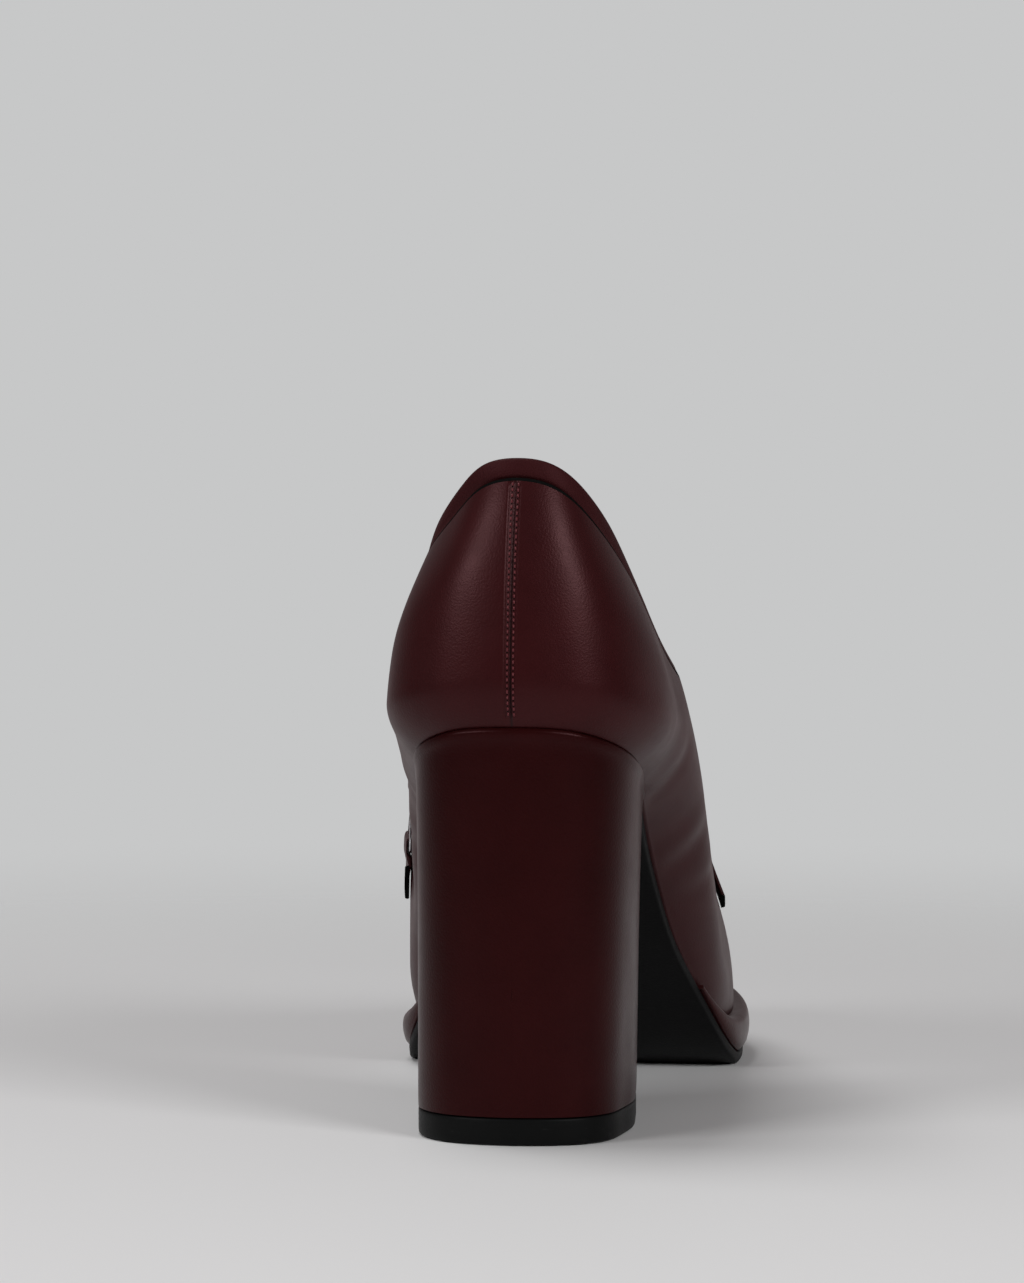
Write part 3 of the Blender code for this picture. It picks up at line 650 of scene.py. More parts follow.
def waxed_thread():
    """Burgundy sewing thread with a twist that runs round it as fine waves; its colour darkens in the grooves
    of the twist, a painted shade.
    """
    finish, shader, add, link = new_finish("waxed_thread")
    place = add("ShaderNodeTexCoord")
    twist = add("ShaderNodeTexWave", Scale=1300.0, Distortion=1.5, bands_direction="DIAGONAL")
    link(place.outputs["Object"], twist.inputs["Vector"])
    # Painted shade: the colour is darker where the twist's bump is low.
    shade = blend(add, link, (0.070, 0.011, 0.014), (0.140, 0.026, 0.032), twist.outputs["Fac"])
    link(shade, shader.inputs["Base Color"])
    shader.inputs["Roughness"].default_value = 0.42
    shader.inputs["Specular Tint"].default_value = (1.0, 0.55, 0.56, 1.0)
    embossed(add, link, shader, twist.outputs["Fac"], 0.00004, strength=0.6)
    return finish


UPPER_LEATHER = leather("burgundy_leather", (0.0300, 0.0043, 0.0049), roughness=0.40, cells=2100.0,
                        depth=0.00003, shine=0.21, coat=0.02, black_edge_and_seam_shade="black_edge_and_seam_shade")
COLLAR_LEATHER = leather("collar_leather", (0.034, 0.0060, 0.0068), roughness=0.56, cells=1900.0,
                         depth=0.00005, shine=0.14)
# Heel block and platform are covered in one leather; the platform's copy is lighter and shinier, painted
# light.
HEEL_LEATHER = leather("heel_leather", (0.0205, 0.0028, 0.0029), roughness=0.31, cells=1900.0,
                       depth=0.00003, shine=0.12)
PLATFORM_LEATHER_LIT = leather("platform_leather_lit", (0.0240, 0.0036, 0.0038), roughness=0.31, cells=1900.0,
                           depth=0.00003, shine=0.26)
STRAP_LEATHER = leather("strap_leather", (0.026, 0.0040, 0.0048), roughness=0.40, cells=1600.0,
                        depth=0.00005, shine=0.25, black_edge_and_seam_shade="black_edge_and_seam_shade")
LINING = leather("lining_leather", (0.21, 0.115, 0.085), roughness=0.62, cells=1300.0, depth=0.00005)
SOCK = leather("sock_leather", (0.17, 0.095, 0.072), roughness=0.60, cells=1300.0, depth=0.00005)
SOLE_BLACK = black_rubber("black_sole", (0.0045, 0.0045, 0.0048), roughness=0.52, depth=0.00006, rubbed=0.25)
LIFT_BLACK = black_rubber("black_rubber", (0.0042, 0.0044, 0.0044), roughness=0.44, depth=0.00003,
                          rubbed=0.35)
SILVER = silver_metal()
BLACK_EDGE_AND_HOLE_SHADE = black_edge_and_hole_shade()
THREAD_FINISH = waxed_thread()


def crease_relief(points, side):
    """Soft creases: across each one a trough with a ridge beside it, fading along its length as a bell."""
    relief = np.zeros(points.shape[:-1])
    for at_side, y, z, slope, half_length, half_width, depth in CREASES:
        turn = math.radians(slope)
        dy = points[..., 1] - y
        dz = points[..., 2] - z
        run = (dy * math.cos(turn) + dz * math.sin(turn)) / half_length
        across = (dz * math.cos(turn) - dy * math.sin(turn)) / half_width
        trough = -np.exp(-across ** 2) + 0.7 * np.exp(-(across - 1.7) ** 2)
        relief += depth * trough * np.exp(-run ** 2) * (side == at_side)
    return relief


def seam_step(off, side):
    """Fall beside the medial row of stitches: steep from the outside, easing out towards the joint."""
    half = np.where(off > SEAM_STEP_AT, SEAM_STEP_HALF, SEAM_STEP_INSIDE)
    return -SEAM_STEP * np.exp(-((off - SEAM_STEP_AT) / half) ** 2) * (side < 0.0)


def seam_relief(s, angle, side, points):
    """Back seam: a narrow trough on the joint, a low swell under each row of stitches and a step beside the
    medial row. Also the painted shade that darkens the trough, from 0 to 1."""
    off = np.linalg.norm(points - surface(0.0 * s, angle, side), axis=-1)
    near = s < SEAM_ZONE_END
    trough_shade = np.exp(-(off / SEAM_TROUGH_HALF) ** 2) * near
    swell = SEAM_SWELL * np.exp(-((off - SEAM_ROW) / SEAM_SWELL_HALF) ** 2)
    pull = -SEAM_PULL * np.exp(-((off - SEAM_ROW) / SEAM_PULL_HALF) ** 2)
    return np.where(near, swell + pull + seam_step(off, side), 0.0) - SEAM_TROUGH * trough_shade, trough_shade


def upper_columns():
    """Stations and sides round the upper: close at the back seam, lateral to the toe, then medial back."""
    stations = np.concatenate((np.linspace(0.0, SEAM_ZONE, 42), np.linspace(SEAM_ZONE, THROAT, 112)[1:],
                               np.linspace(THROAT, TOE, 104)[1:]))
    s = np.concatenate((stations, stations[-2:0:-1]))
    side = np.concatenate((np.ones(len(stations)), -np.ones(len(stations) - 2)))
    return s, side


def rim_outward(s, rim, normal):
    """Direction out of the leather along the opening's rim: across the rim's own line, on the surface."""
    open_part = s <= THROAT + 1e-9
    start = int(np.argmin(open_part))
    order = np.roll(np.arange(len(s)), -start)
    order = order[open_part[order]]
    line = rim[order]
    tangent = np.roll(line, -1, axis=0) - np.roll(line, 1, axis=0)
    tangent[0] = line[1] - line[-2]
    tangent[-1] = tangent[0]
    way = np.cross(normal[order], tangent)
    way /= np.linalg.norm(way, axis=-1, keepdims=True)
    outward = np.zeros_like(rim)
    outward[order] = way
    return outward


def make_upper():
    """The hollow upper: outer face with seam and creases, a rolled rim round the opening, and the lining."""
    s, side = upper_columns()
    roll = 0.5 * WALL
    rim_angle = quarter_angle(s, side)
    rim_angle = rim_angle - roll / rim_pace(s, rim_angle, side) * ease((THROAT - s) / RIM_ROLL_FADE)
    share = np.concatenate((np.linspace(0.0, FOOT_SHARE, 8), np.linspace(FOOT_SHARE, 1.0, 84)[1:]))
    grid_s = spread(s, share)
    grid_side = spread(side, share)
    angle = rim_angle[:, None] * share
    bound = s < BAND_END
    line = RIM_LINE_BACK + (RIM_LINE_SIDE - RIM_LINE_BACK) * ease(s / RIM_LINE_GROWTH)
    angle[:, -2] = np.where(bound, rim_angle - line / rim_pace(s, rim_angle, side), angle[:, -2])
    plain = surface(grid_s, angle, grid_side)
    normal = normals(grid_s, angle, grid_side)
    seam, trough_shade = seam_relief(grid_s, angle, grid_side, plain)
    relief = crease_relief(plain, grid_side) + seam
    relief = relief * ease(share / RELIEF_FOOT) * ease((1.0 - share) / RELIEF_RIM)
    outer = plain + normal * relief[..., None]
    turn = np.linspace(0.0, np.pi, 13)[1:-1]
    outward = rim_outward(s, plain[:, -1], normal[:, -1])
    rim = plain[:, -1:] + outward[:, None] * (roll * np.sin(turn))[:, None]
    rim = rim - normal[:, -1:] * (roll * (1.0 - np.cos(turn)))[:, None]
    lining_share = np.linspace(1.0, 0.0, 40)
    lining_s = spread(s, lining_share)
    lining_angle = rim_angle[:, None] * lining_share
    lining = raised(lining_s, lining_angle, spread(side, lining_share), -WALL + 0.0 * lining_s)
    foot_out = np.array(FOOT_DRAWN_IN)
    foot_x, foot_y = outline(spread(s, foot_out), spread(side, foot_out), foot_out)
    foot_z = along("edge_z", s)[:, None] - GAP + FOOT_CLEAR + 0.0 * foot_out
    foot = np.stack((foot_x, foot_y, foot_z), axis=-1)
    points = np.concatenate((outer, rim, lining, foot), axis=1)
    columns, rows = points.shape[:2]
    black_edge_and_seam_shade = np.zeros((columns, rows))
    # Painted shade: the seam trough darkened towards black, less of it towards the rim.
    paler = SEAM_PALER * ease((share - SEAM_PALER_FROM) / SEAM_PALER_REACH)
    black_edge_and_seam_shade[:, :len(share)] = SEAM_TROUGH_SHADE * trough_shade * (1.0 - paler)
    quads = grid_quads(columns, rows, close_rows=True, close_columns=True)
    row = np.tile(np.arange(rows), columns)
    column = np.repeat(np.arange(columns), rows)
    shut = (s >= THROAT - 1e-9)[column] & (s >= THROAT - 1e-9)[(column + 1) % columns]
    across = (row >= len(share) - 1) & (row < len(share) + len(turn))
    inside = (row >= len(share) + len(turn) // 2) & (row < rows - len(foot_out))
    painted = np.where(bound[column] & bound[(column + 1) % columns], len(share) - 2, len(share))
    edge = (row >= painted) & (row < len(share) + len(turn) // 2)
    kept = ~(shut & across)
    return make_piece("upper", points, quads[kept], (UPPER_LEATHER, LINING, BLACK_EDGE_AND_HOLE_SHADE), "burgundy_leather",
                      ("upper",), marks={"black_edge_and_seam_shade": black_edge_and_seam_shade}, finish_of=(inside + 2 * edge)[kept])


def make_binding():
    """The collar strip: a rounded section carried round the opening, shrinking to nothing at its ends."""
    stations = np.concatenate((np.linspace(0.0, BAND_END - BAND_END_REACH, 130),
                               BAND_END - BAND_END_REACH * np.cos(np.linspace(0.0, np.pi / 2, 12))[1:]))
    s = np.concatenate((stations[:0:-1], stations))
    side = np.concatenate((-np.ones(len(stations) - 1), np.ones(len(stations))))
    section = rounded(BINDING_SECTION, 52, closed=True)
    low = quarter_angle(s, side)
    top = collar_angle(s, side)
    full = np.maximum(top - low, BAND_SLIVER / pace(s, top, side))
    end = np.sqrt(np.clip((BAND_END - s) / BAND_END_REACH, 0.0, 1.0))
    middle = section.mean(axis=0)
    share = middle[0] + (section[:, 0] - middle[0]) * end[:, None]
    flare = ease((np.where(side > 0.0, FLARE_END[1], FLARE_END[-1]) - s) / FLARE_FADE)
    height = middle[1] + (section[:, 1] - middle[1]) * end[:, None] + section[:, 2] * flare[:, None]
    angle = low[:, None] + full[:, None] * share
    points = raised(spread(s, share[0]), angle, spread(side, share[0]), height)
    quads = grid_quads(len(s), len(section), close_columns=True)
    return make_piece("topline_binding", points, quads, (COLLAR_LEATHER,), "collar_leather",
                      ("topline_binding",))


def slab_points(walls, steps):
    """Rings of a piece between a lateral and a medial wall: up the one, across, down the other, and back."""
    lateral, medial = walls
    share = np.linspace(0.0, 1.0, steps + 1)[1:-1, None]
    top = lateral[:, -1:] + (medial[:, -1:] - lateral[:, -1:]) * share
    base = medial[:, :1] + (lateral[:, :1] - medial[:, :1]) * share
    return np.concatenate((lateral, top, medial[:, ::-1], base), axis=1)


def slab_quads(stations, levels, steps):
    """Quads of those rings, with the two end faces ruled from wall to wall."""
    ring = 2 * levels + 2 * (steps - 1)
    quads = [grid_quads(stations, ring, close_columns=True)]
    lateral = np.arange(levels)
    medial = levels + steps - 1 + np.arange(levels)[::-1]
    for first in (0, (stations - 1) * ring):
        quads.append(first + np.stack((lateral[:-1], lateral[1:], medial[1:], medial[:-1]), axis=-1))
    return np.concatenate(quads)


def plan_kept(x, y, share):
    """Plan map that leaves the outline as it is."""
    return x, y


def plan_heel(x, y, share):
    """Plan map that draws the heel in towards the floor, its lateral back corner a little more than the rest;
    share is 0 at the lift and 1 at the seat."""
    back = STATIONS[0, 0]
    corner = HEEL_CORNER * (1.0 - share) * np.exp(-((y - HEEL_CORNER_Y) / HEEL_CORNER_REACH) ** 2) * (x > 0.0)
    x = x - corner
    taper_x = HEEL_TAPER_X + (1.0 - HEEL_TAPER_X) * share
    taper_y = HEEL_TAPER_Y + (1.0 - HEEL_TAPER_Y) * share
    return x * taper_x + HEEL_SHIFT_X * (1.0 - share), back + HEEL_LEAN * (1.0 - share) + (y - back) * taper_y


def breast_rounding(s, radius):
    """How far the outline is drawn in near the heel breast: a quarter circle of a radius."""
    u = np.clip(1.0 - (BREAST - s) / BREAST_REACH, 0.0, 1.0)
    return radius * (1.0 - np.sqrt(1.0 - u ** 2))


def end_stations(first, last, count, reach):
    """Even stations with a closer set at both ends for their rounding."""
    close = reach * (1.0 - np.cos(np.linspace(0.0, np.pi / 2, 9)))
    even = np.linspace(first + reach, last - reach, count)
    return np.unique(np.concatenate((first + close, even, last - close)))


def edge_levels(profile, count):
    """Smooth edge profile as share of height and outward distance."""
    line = rounded(profile, count)
    return np.clip(line[:, 0], 0.0, 1.0), line[:, 1]


def make_slab(name, s, low, high, profile, count, out, plan, finish, slot, plan_share=None, steps=8,
              grown=1.0):
    """A layer between two heights: its edge profile carried round the outline on both sides, weighed by how
    far the layer has grown."""
    share, bulge = edge_levels(profile, count)
    z = low[:, None] + (high - low)[:, None] * share
    walls = []
    for side in (1, -1):
        x, y = outline(spread(s, share), side, out[:, None] + bulge * np.reshape(grown, (-1, 1)))
        x, y = plan(x, y, share if plan_share is None else plan_share)
        walls.append(np.stack((x, y, z), axis=-1))
    points = slab_points(walls, steps)
    quads = slab_quads(len(s), count, steps)
    return make_piece(name, points, quads, (finish,), slot, (name,), crisp=48.0)


def make_insole():
    """The sock board inside the upper, with a softly rounded edge."""
    s = end_stations(0.0, TOE, 150, 0.15)
    low = along("edge_z", s) + GAP
    out = -(WALL + GAP) + 0.0 * s
    return make_slab("insole", s, low, low + INSOLE, INSOLE_EDGE, 12, out, plan_kept, SOCK, "sock_leather")


def make_platform():
    """The covered layer under the forefoot, from its thin tail at the waist to the toe."""
    s = end_stations(PLATFORM_TAIL, TOE, 130, 0.2)
    low = ground(s) + SOLE + GAP
    high = along("edge_z", s) - GAP
    grown = np.clip((high - low) / PLATFORM_GROWN, 0.1, 1.0)
    return make_slab("platform", s, low, high, PLATFORM_EDGE, 26, along("welt", s), plan_kept,
                     PLATFORM_LEATHER_LIT, "cover_leather", steps=10, grown=grown)


def make_outsole():
    """The thin black sole from the heel breast to the toe."""
    first = BREAST + 0.02
    s = end_stations(first, TOE, 150, 0.12)
    low = ground(s)
    return make_slab("outsole", s, low, low + SOLE, SOLE_EDGE, 16, along("welt", s), plan_kept, SOLE_BLACK,
                     "black_sole")


def make_heel():
    """The covered block: the seat's outline drawn in towards the lift, with a rolled lip under the seat."""
    s = end_stations(0.0, BREAST, 90, BREAST_REACH)
    low = LIFT + 0.0 * s
    high = along("edge_z", s) - GAP
    return make_slab("heel_block", s, low, high, HEEL_EDGE, 90, -breast_rounding(s, HEEL_ROUND), plan_heel,
                     HEEL_LEATHER, "cover_leather")


def make_lift():
    """The wearing piece under the block, flat on the floor, with worn lower edges."""
    s = end_stations(0.0, BREAST, 80, BREAST_REACH)
    high = LIFT - GAP + 0.0 * s
    return make_slab("top_lift", s, 0.0 * s, high, LIFT_EDGE, 18, -breast_rounding(s, LIFT_ROUND), plan_heel,
                     LIFT_BLACK, "black_rubber", plan_share=0.0)


def station_at(angle, side, y):
    """Station at which the last's surface, at an arch angle, passes the strap's slanted line."""
    s = STRAP_STATION + 0.0 * angle
    for _ in range(10):
        place = surface(s, angle, side)
        s = s + (y + STRAP_SKEW * (place[..., 0] - STRAP_MIDDLE_X) - place[..., 1]) / 15.0
    return s


def ring_middle(side):
    """Arch angle at a ring's middle, wall per radian there, and way up per reach that keeps level."""
    s = np.float64(STRAP_STATION)
    for _ in range(4):
        angle = angle_at(s, RING_Z[side], side)
        s = station_at(angle, side, STRAP_Y)
    step = 0.01
    up = pace(s, angle, side)
    run = surface(s + step, angle, side) - surface(s - step, angle, side)
    above = surface(station_at(angle + step, side, STRAP_Y), angle + step, side)
    below = surface(station_at(angle - step, side, STRAP_Y), angle - step, side)
    lift = (above - below)[2] / (2.0 * step * up)
    return angle, up, -run[2] / (np.linalg.norm(run) * lift)


def on_side(side, way, reach, height):
    """A point by the ring: reach along the shoe, way up the wall from its middle, height off the upper."""
    middle, up, rake = ring_middle(side)
    plain = np.minimum(middle + way / up, np.pi / 2)
    level = ease((np.pi / 2 - plain) / LEVEL_FADE)
    angle = np.minimum(plain + rake * reach / up * level, np.pi / 2)
    s = station_at(angle, side, STRAP_Y)
    step = 0.01
    run = surface(s + step, angle, side) - surface(s - step, angle, side)
    true_reach = run[..., 1] / np.linalg.norm(run, axis=-1)
    return raised(station_at(angle, side, STRAP_Y + reach * true_reach), angle, side, height)


def ring_line(count):
    """Middle line of a ring and its outward direction, as reach, way, outward reach and outward way."""
    long = RING_HALF_LONG - RING_CORNER
    tall = RING_HALF_TALL - RING_CORNER
    corners = []
    for turn, (cx, cy) in enumerate(((1, 1), (-1, 1), (-1, -1), (1, -1))):
        bend = turn * np.pi / 2 + np.linspace(0.0, np.pi / 2, count)
        out = np.stack((np.cos(bend), np.sin(bend)), axis=-1)
        arc = np.array((cx * long, cy * tall)) + RING_CORNER * out
        after = np.array(((-cx, cy), (cx, -cy))[turn % 2]) * (long, tall) + RING_CORNER * out[-1]
        bar = arc[-1] + (after - arc[-1]) * np.linspace(0.0, 1.0, 2 * count)[1:-1, None]
        outward = np.concatenate((out, np.repeat(out[-1:], len(bar), axis=0)))
        corners.append(np.concatenate((np.concatenate((arc, bar)), outward), axis=1))
    return np.concatenate(corners)


def make_ring(name, side):
    """A metal loop on the side wall: a bar with rounded edges carried round a rounded rectangle."""
    line = ring_line(10)
    turn = np.linspace(0.0, 2 * np.pi, 20, endpoint=False)
    power = 0.6
    grow = BAR_HALF * np.sign(np.cos(turn)) * np.abs(np.cos(turn)) ** power
    middle = 0.5 * (BAR_LOW + BAR_HIGH)
    height = middle + 0.5 * (BAR_HIGH - BAR_LOW) * np.sign(np.sin(turn)) * np.abs(np.sin(turn)) ** power
    reach = line[:, :1] + grow * line[:, 2:3]
    way = line[:, 1:2] + grow * line[:, 3:4]
    points = on_side(side, way, reach, FOLD_FLAT * height + 0.0 * reach)
    quads = grid_quads(len(line), len(turn), close_rows=True, close_columns=True)
    return make_piece(name, points, quads, (SILVER,), "silver_metal", (name,))


def strip_section(half):
    """Section round a strip: reach across it and share of its thickness, with rounded, painted edges."""
    turn = np.linspace(0.0, np.pi, 9)
    inner = half - EDGE_CORNER
    right = np.stack((inner + EDGE_CORNER * np.sin(turn), 0.5 - 0.5 * np.cos(turn)), axis=-1)
    left = np.stack((-inner - EDGE_CORNER * np.sin(turn), 0.5 + 0.5 * np.cos(turn)), axis=-1)
    flat = np.linspace(inner, -inner, 14)[1:-1]
    over = np.stack((flat, 1.0 + 0.0 * flat), axis=-1)
    under = np.stack((flat[::-1], 0.0 * flat), axis=-1)
    section = np.concatenate((right, over, left, under))
    painted = ease((np.abs(section[:, 0]) - half + EDGE_PAINTED) / EDGE_FADE)
    return section[:, 0], section[:, 1], EDGE_TINT * painted


def hook_path(upward, count):
    """Fold round a bar, as rows of outer way and height and inner way and height, from end to strip."""
    line = rounded(HOOK, count)[::-1]
    return np.stack((upward * (RING_HALF_TALL + line[:, 0]), FOLD_FLAT * line[:, 1],
                     upward * (RING_HALF_TALL + line[:, 2]), FOLD_FLAT * line[:, 3]), axis=-1)


def strip_points(side, path, reach, share):
    """Points of a strip: between the path's inner and outer line by share, at each reach across."""
    way = path[:, 2:3] + (path[:, 0:1] - path[:, 2:3]) * share
    height = path[:, 3:4] + (path[:, 1:2] - path[:, 3:4]) * share
    return on_side(side, way, reach + 0.0 * way, height)


def strip_quads(steps, ring):
    """Quads of a strip's skin with both ends closed across from edge to edge."""
    quads = [grid_quads(steps, ring, close_columns=True)]
    k = np.arange(ring // 2 - 1)
    for first in (0, (steps - 1) * ring):
        quads.append(first + np.stack((k, k + 1, ring - 2 - k, ring - 1 - k), axis=-1))
    return np.concatenate(quads)


def make_strap():
    """The strap over the vamp, folded round each ring's upper bar, with black painted edges."""
    reach, share, black_edge_and_seam_shade = strip_section(STRAP_HALF)
    halves = []
    for side in (1, -1):
        path = hook_path(1, 40)
        middle, up, _ = ring_middle(side)
        t = np.linspace(0.0, 1.0, 46)[1:, None]
        end = path[-1:] + 0.0 * t
        top = (np.pi / 2 - middle) * up
        over = np.concatenate((end[:, 0:1] + (top - end[:, 0:1]) * t, end[:, 1:2],
                               end[:, 2:3] + (top - end[:, 2:3]) * t, end[:, 3:4]), axis=1)
        halves.append(strip_points(side, np.concatenate((path, over)), reach, share))
    points = np.concatenate((halves[0], halves[1][-2::-1]))
    marks = {"black_edge_and_seam_shade": np.tile(black_edge_and_seam_shade, len(points))}
    return make_piece("saddle_strap", points, strip_quads(len(points), len(reach)), (STRAP_LEATHER,),
                      "strap_leather", ("saddle_strap",), marks=marks)


def make_tab(name, side):
    """The tab below a ring: folded round its lower bar, with a black slanted end whose rear corner lifts."""
    reach, share, black_edge_and_seam_shade = strip_section(STRAP_HALF)
    path = hook_path(-1, 40)
    folded = strip_points(side, path, reach, share)
    t = np.append(np.linspace(0.0, 0.97, 25)[1:], 1.0)[:, None]
    start = path[-1, 2] + (path[-1, 0] - path[-1, 2]) * share
    end = -(RING_HALF_TALL + TAB_LENGTH[side]) + TAB_POINT[side] * reach / STRAP_HALF
    way = start + (end - start) * t
    height = path[-1, 3] + (path[-1, 1] - path[-1, 3]) * share
    rear = 0.5 - 0.5 * reach / STRAP_HALF
    body = on_side(side, way, reach + 0.0 * way, height + TAB_LIFT * rear * t ** 2)
    points = np.concatenate((folded, body))
    quads = strip_quads(len(points), len(reach))
    finish_of = np.zeros(len(quads))
    finish_of[(len(points) - 2) * len(reach):(len(points) - 1) * len(reach)] = 1
    finish_of[1 - len(reach) // 2:] = 1
    return make_piece(name, points, quads, (STRAP_LEATHER, BLACK_EDGE_AND_HOLE_SHADE), "strap_leather", (name,),
                      marks={"black_edge_and_seam_shade": np.tile(black_edge_and_seam_shade, len(points))}, finish_of=finish_of)


def stitches(path, normal, start, length):
    """Thread along a line: each stitch a short tube that rises between its holes and dips at both ends."""
    run = np.concatenate(((0.0,), np.cumsum(np.linalg.norm(np.diff(path, axis=0), axis=1))))
    count = int((run[-1] - start) / STITCH_PITCH)
    t = np.linspace(0.0, 1.0, 8)
    at = (np.arange(count) * STITCH_PITCH + start)[:, None] + length * t
    middle = np.stack([np.interp(at, run, path[:, k]) for k in range(3)], axis=-1)
    up = np.stack([np.interp(at, run, normal[:, k]) for k in range(3)], axis=-1)
    tangent = np.gradient(middle, axis=1)
    tangent /= np.linalg.norm(tangent, axis=-1, keepdims=True)
    across = np.cross(tangent, up)
    arch = 1.0 - (2.0 * t - 1.0) ** 2
    middle = middle + up * (0.9 * THREAD * arch - THREAD_SINK * (1.0 - arch))[:, None]
    thick = THREAD * np.sqrt(np.clip(1.0 - (2.0 * t - 1.0) ** 6, 0.0, 1.0))
    turn = np.linspace(0.0, 2 * np.pi, 7, endpoint=False)
    ring = across[..., None, :] * np.cos(turn)[:, None] + up[..., None, :] * np.sin(turn)[:, None]
    points = middle[..., None, :] + ring * thick[:, None, None]
    one = grid_quads(len(t), len(turn), close_columns=True)
    size = len(t) * len(turn)
    quads = (np.arange(count)[:, None, None] * size + one).reshape(-1, 4)
    return points.reshape(-1, 3), quads


def join(meshes):
    """Several points and quads as one."""
    starts = np.cumsum([0] + [len(points) for points, quads in meshes])
    points = np.concatenate([points for points, quads in meshes])
    quads = np.concatenate([quads + start for (_, quads), start in zip(meshes, starts)])
    return points, quads


def make_seam_stitches():
    """Two rows of thread beside the back seam, from below the rim to above the heel, and sunk black dashes
    between the stitches as painted shade for their holes.
    """
    rows = []
    hole_shades = []
    for side in (1, -1):
        share = np.linspace(*STITCH_ROWS, 240)
        s = 0.0 * share
        for _ in range(12):
            angle = quarter_angle(s, side + 0.0 * s) * share
            off = np.linalg.norm(surface(s, angle, side) - surface(0.0 * s, angle, side), axis=-1)
            s = s + (SEAM_ROW - off) / 10.5
        flat_side = side + 0.0 * s
        height = SEAM_SWELL - THREAD_BEDDED + seam_step(SEAM_ROW + 0.0 * s, flat_side)
        normal = normals(s, angle, flat_side)
        path = raised(s, angle, flat_side, height)
        rows.append(stitches(path, normal, 0.5 * (STITCH_PITCH - STITCH_LENGTH), STITCH_LENGTH))
        # Painted shade: black dashes sunk between the stitches stand for the shade in their holes.
        path = raised(s, angle, flat_side, height - HOLE_SHADE_SINK)
        hole_shades.append(stitches(path, normal, STITCH_PITCH - 0.5 * HOLE_SHADE_LENGTH, HOLE_SHADE_LENGTH))
    make_piece("seam_stitches", *join(rows), (THREAD_FINISH,), "burgundy_leather")
    make_piece("seam_hole_shades", *join(hole_shades), (BLACK_EDGE_AND_HOLE_SHADE,), "burgundy_leather")


def make_camera():
    """The photograph's view: behind the heel, turned to the lateral side, tilted by the horizon's row."""
    lens = bpy.data.cameras.new("photo_view")
    lens.sensor_fit = "HORIZONTAL"
    lens.sensor_width = SENSOR
    lens.lens = FOCAL_PIXELS / IMAGE_WIDTH * SENSOR
    lens.clip_start = 0.01
    lens.clip_end = 30.0
    right = np.array((math.cos(VIEW_TURN), math.sin(VIEW_TURN), 0.0))
    level = np.array((-math.sin(VIEW_TURN), math.cos(VIEW_TURN), 0.0))
    tilt = math.atan((0.5 * IMAGE_HEIGHT - HORIZON_ROW) / FOCAL_PIXELS)
    rise = np.array((0.0, 0.0, 1.0))
    view = level * math.cos(tilt) - rise * math.sin(tilt)
    up = rise * math.cos(tilt) + level * math.sin(tilt)
    place = VIEW_PIVOT - right * VIEW_LEFT - level * HEEL_DISTANCE + rise * CAMERA_HEIGHT
    camera = bpy.data.objects.new("photo_view", lens)
    pose = np.eye(4)
    pose[:3, :3] = np.stack((right, up, -view), axis=1)
    pose[:3, 3] = (place - ORIGIN) * MM
    camera.matrix_world = pose.T
    bpy.context.scene.collection.objects.link(camera)
    bpy.context.scene.camera = camera
    return camera


def make_floor():
    """A pale round floor, flat rings of quads from its middle outwards, that thins out to clear."""
    finish, shader, add, link = new_finish("pale_floor")
    place = add("ShaderNodeTexCoord")
    cloud = noise(add, link, Scale=3.0, Detail=2.0)
    shade = blend(add, link, (0.71, 0.71, 0.715), (0.75, 0.75, 0.75), cloud)
    link(shade, shader.inputs["Base Color"])
    shader.inputs["Roughness"].default_value = 0.6
    shader.inputs["Specular IOR Level"].default_value = 0.2
    centre = add("ShaderNodeMapping")
    centre.inputs["Location"].default_value = (0.0, -FLOOR_AHEAD, 0.0)
    link(place.outputs["Object"], centre.inputs["Vector"])
    far = add("ShaderNodeVectorMath", operation="LENGTH")
    link(centre.outputs["Vector"], far.inputs[0])
    fade = add("ShaderNodeMapRange", interpolation_type="SMOOTHSTEP", **span(FLOOR_FULL, FLOOR_RIM, 1.0, 0.0))
    link(far.outputs["Value"], fade.inputs["Value"])
    link(fade.outputs["Result"], shader.inputs["Alpha"])
    turn = np.linspace(0.0, 2 * np.pi, 48, endpoint=False)
    radius = np.concatenate(((0.0,), np.linspace(0.2, FLOOR_RIM, 8)))
    points = np.stack((radius[:, None] * np.cos(turn), FLOOR_AHEAD + radius[:, None] * np.sin(turn),
                       0.0 * radius[:, None] + 0.0 * turn), axis=-1)
    mesh = bpy.data.meshes.new("floor")
    mesh.from_pydata(points.reshape(-1, 3).tolist(), [],
                     grid_quads(len(radius), len(turn), close_columns=True).tolist())
    mesh.materials.append(finish)
    work = bmesh.new()
    work.from_mesh(mesh)
    bmesh.ops.remove_doubles(work, verts=work.verts, dist=WELD)
    bmesh.ops.recalc_face_normals(work, faces=work.faces)
    if sum(face.normal.z for face in work.faces) < 0.0:
        bmesh.ops.reverse_faces(work, faces=work.faces)
    work.to_mesh(mesh)
    work.free()
    floor = bpy.data.objects.new("floor", mesh)
    bpy.context.scene.collection.objects.link(floor)


# Soft boxes: name, place, what it faces, width, height and watts, in metres.
LIGHTS = (
    ("left_box", (-0.80, -0.85, 0.60), (0.0, -0.09, 0.11), 0.50, 0.40, 5.2),
    ("right_box", (0.78, -0.78, 0.60), (0.0, -0.09, 0.11), 0.45, 0.40, 6.5),
    ("top_box", (-0.45, 0.05, 1.4), (0.0, 0.0, 0.0), 0.7, 0.7, 9.5),
)


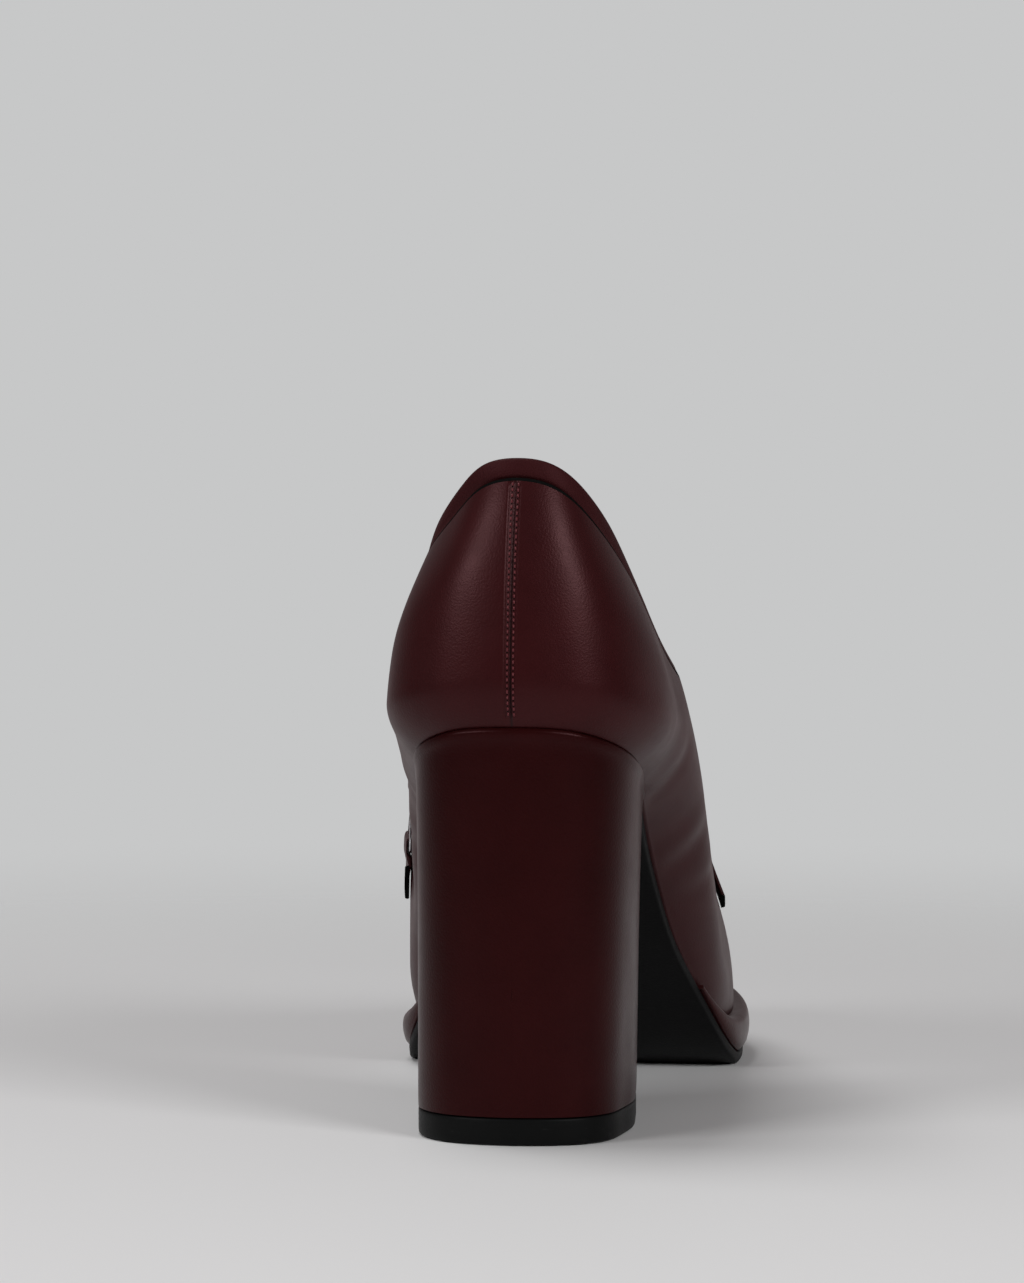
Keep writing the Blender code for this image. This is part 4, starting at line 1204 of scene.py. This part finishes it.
def make_lights():
    """Soft boxes aimed at the shoe, in a surround that is dim behind the camera, with a wall behind the toe
    and a paler floor below the horizon."""
    for name, place, target, width, height, watts in LIGHTS:
        light = bpy.data.lights.new(name, "AREA")
        light.shape = "RECTANGLE"
        light.size = width
        light.size_y = height
        light.energy = watts
        box = bpy.data.objects.new(name, light)
        back = np.array(place) - np.array(target)
        back /= np.linalg.norm(back)
        across = np.cross((0.0, 0.0, 1.0), back)
        across /= np.linalg.norm(across)
        pose = np.eye(4)
        pose[:3, :3] = np.stack((across, np.cross(back, across), back), axis=1)
        pose[:3, 3] = place
        box.matrix_world = pose.T
        bpy.context.scene.collection.objects.link(box)
    world = bpy.data.worlds.new("surround")
    world.use_nodes = True
    tree = world.node_tree
    add = node_maker(tree)
    surround = tree.nodes["Background"]
    backdrop = add("ShaderNodeBackground", Strength=1.0)
    backdrop.inputs["Color"].default_value = BACKDROP
    way = add("ShaderNodeTexCoord")
    split = add("ShaderNodeSeparateXYZ")
    tree.links.new(way.outputs["Generated"], split.inputs["Vector"])
    ahead = add("ShaderNodeMapRange", interpolation_type="SMOOTHSTEP",
                **span(SURROUND_HORIZON, -SURROUND_HORIZON, SURROUND_WALL, SURROUND_FLOOR))
    tree.links.new(split.outputs["Z"], ahead.inputs["Value"])
    level = add("ShaderNodeMapRange", interpolation_type="SMOOTHSTEP",
                **span(*SURROUND_AHEAD, SURROUND_DIM, SURROUND_WALL))
    tree.links.new(ahead.outputs["Result"], level.inputs["To Max"])
    tree.links.new(split.outputs["Y"], level.inputs["Value"])
    tree.links.new(level.outputs["Result"], surround.inputs["Strength"])
    surround.inputs["Color"].default_value = SURROUND_TINT
    path = add("ShaderNodeLightPath")
    shown = add("ShaderNodeMixShader")
    tree.links.new(path.outputs["Is Camera Ray"], shown.inputs["Fac"])
    tree.links.new(surround.outputs["Background"], shown.inputs[1])
    tree.links.new(backdrop.outputs["Background"], shown.inputs[2])
    tree.links.new(shown.outputs["Shader"], tree.nodes["World Output"].inputs["Surface"])
    bpy.context.scene.world = world
    bpy.context.scene.view_settings.view_transform = "Standard"


make_upper()
make_binding()
make_insole()
make_platform()
make_outsole()
make_heel()
make_lift()
make_strap()
make_ring("ring_lateral", 1)
make_ring("ring_medial", -1)
make_tab("tab_lateral", 1)
make_tab("tab_medial", -1)
make_seam_stitches()
make_floor()
make_camera()
make_lights()
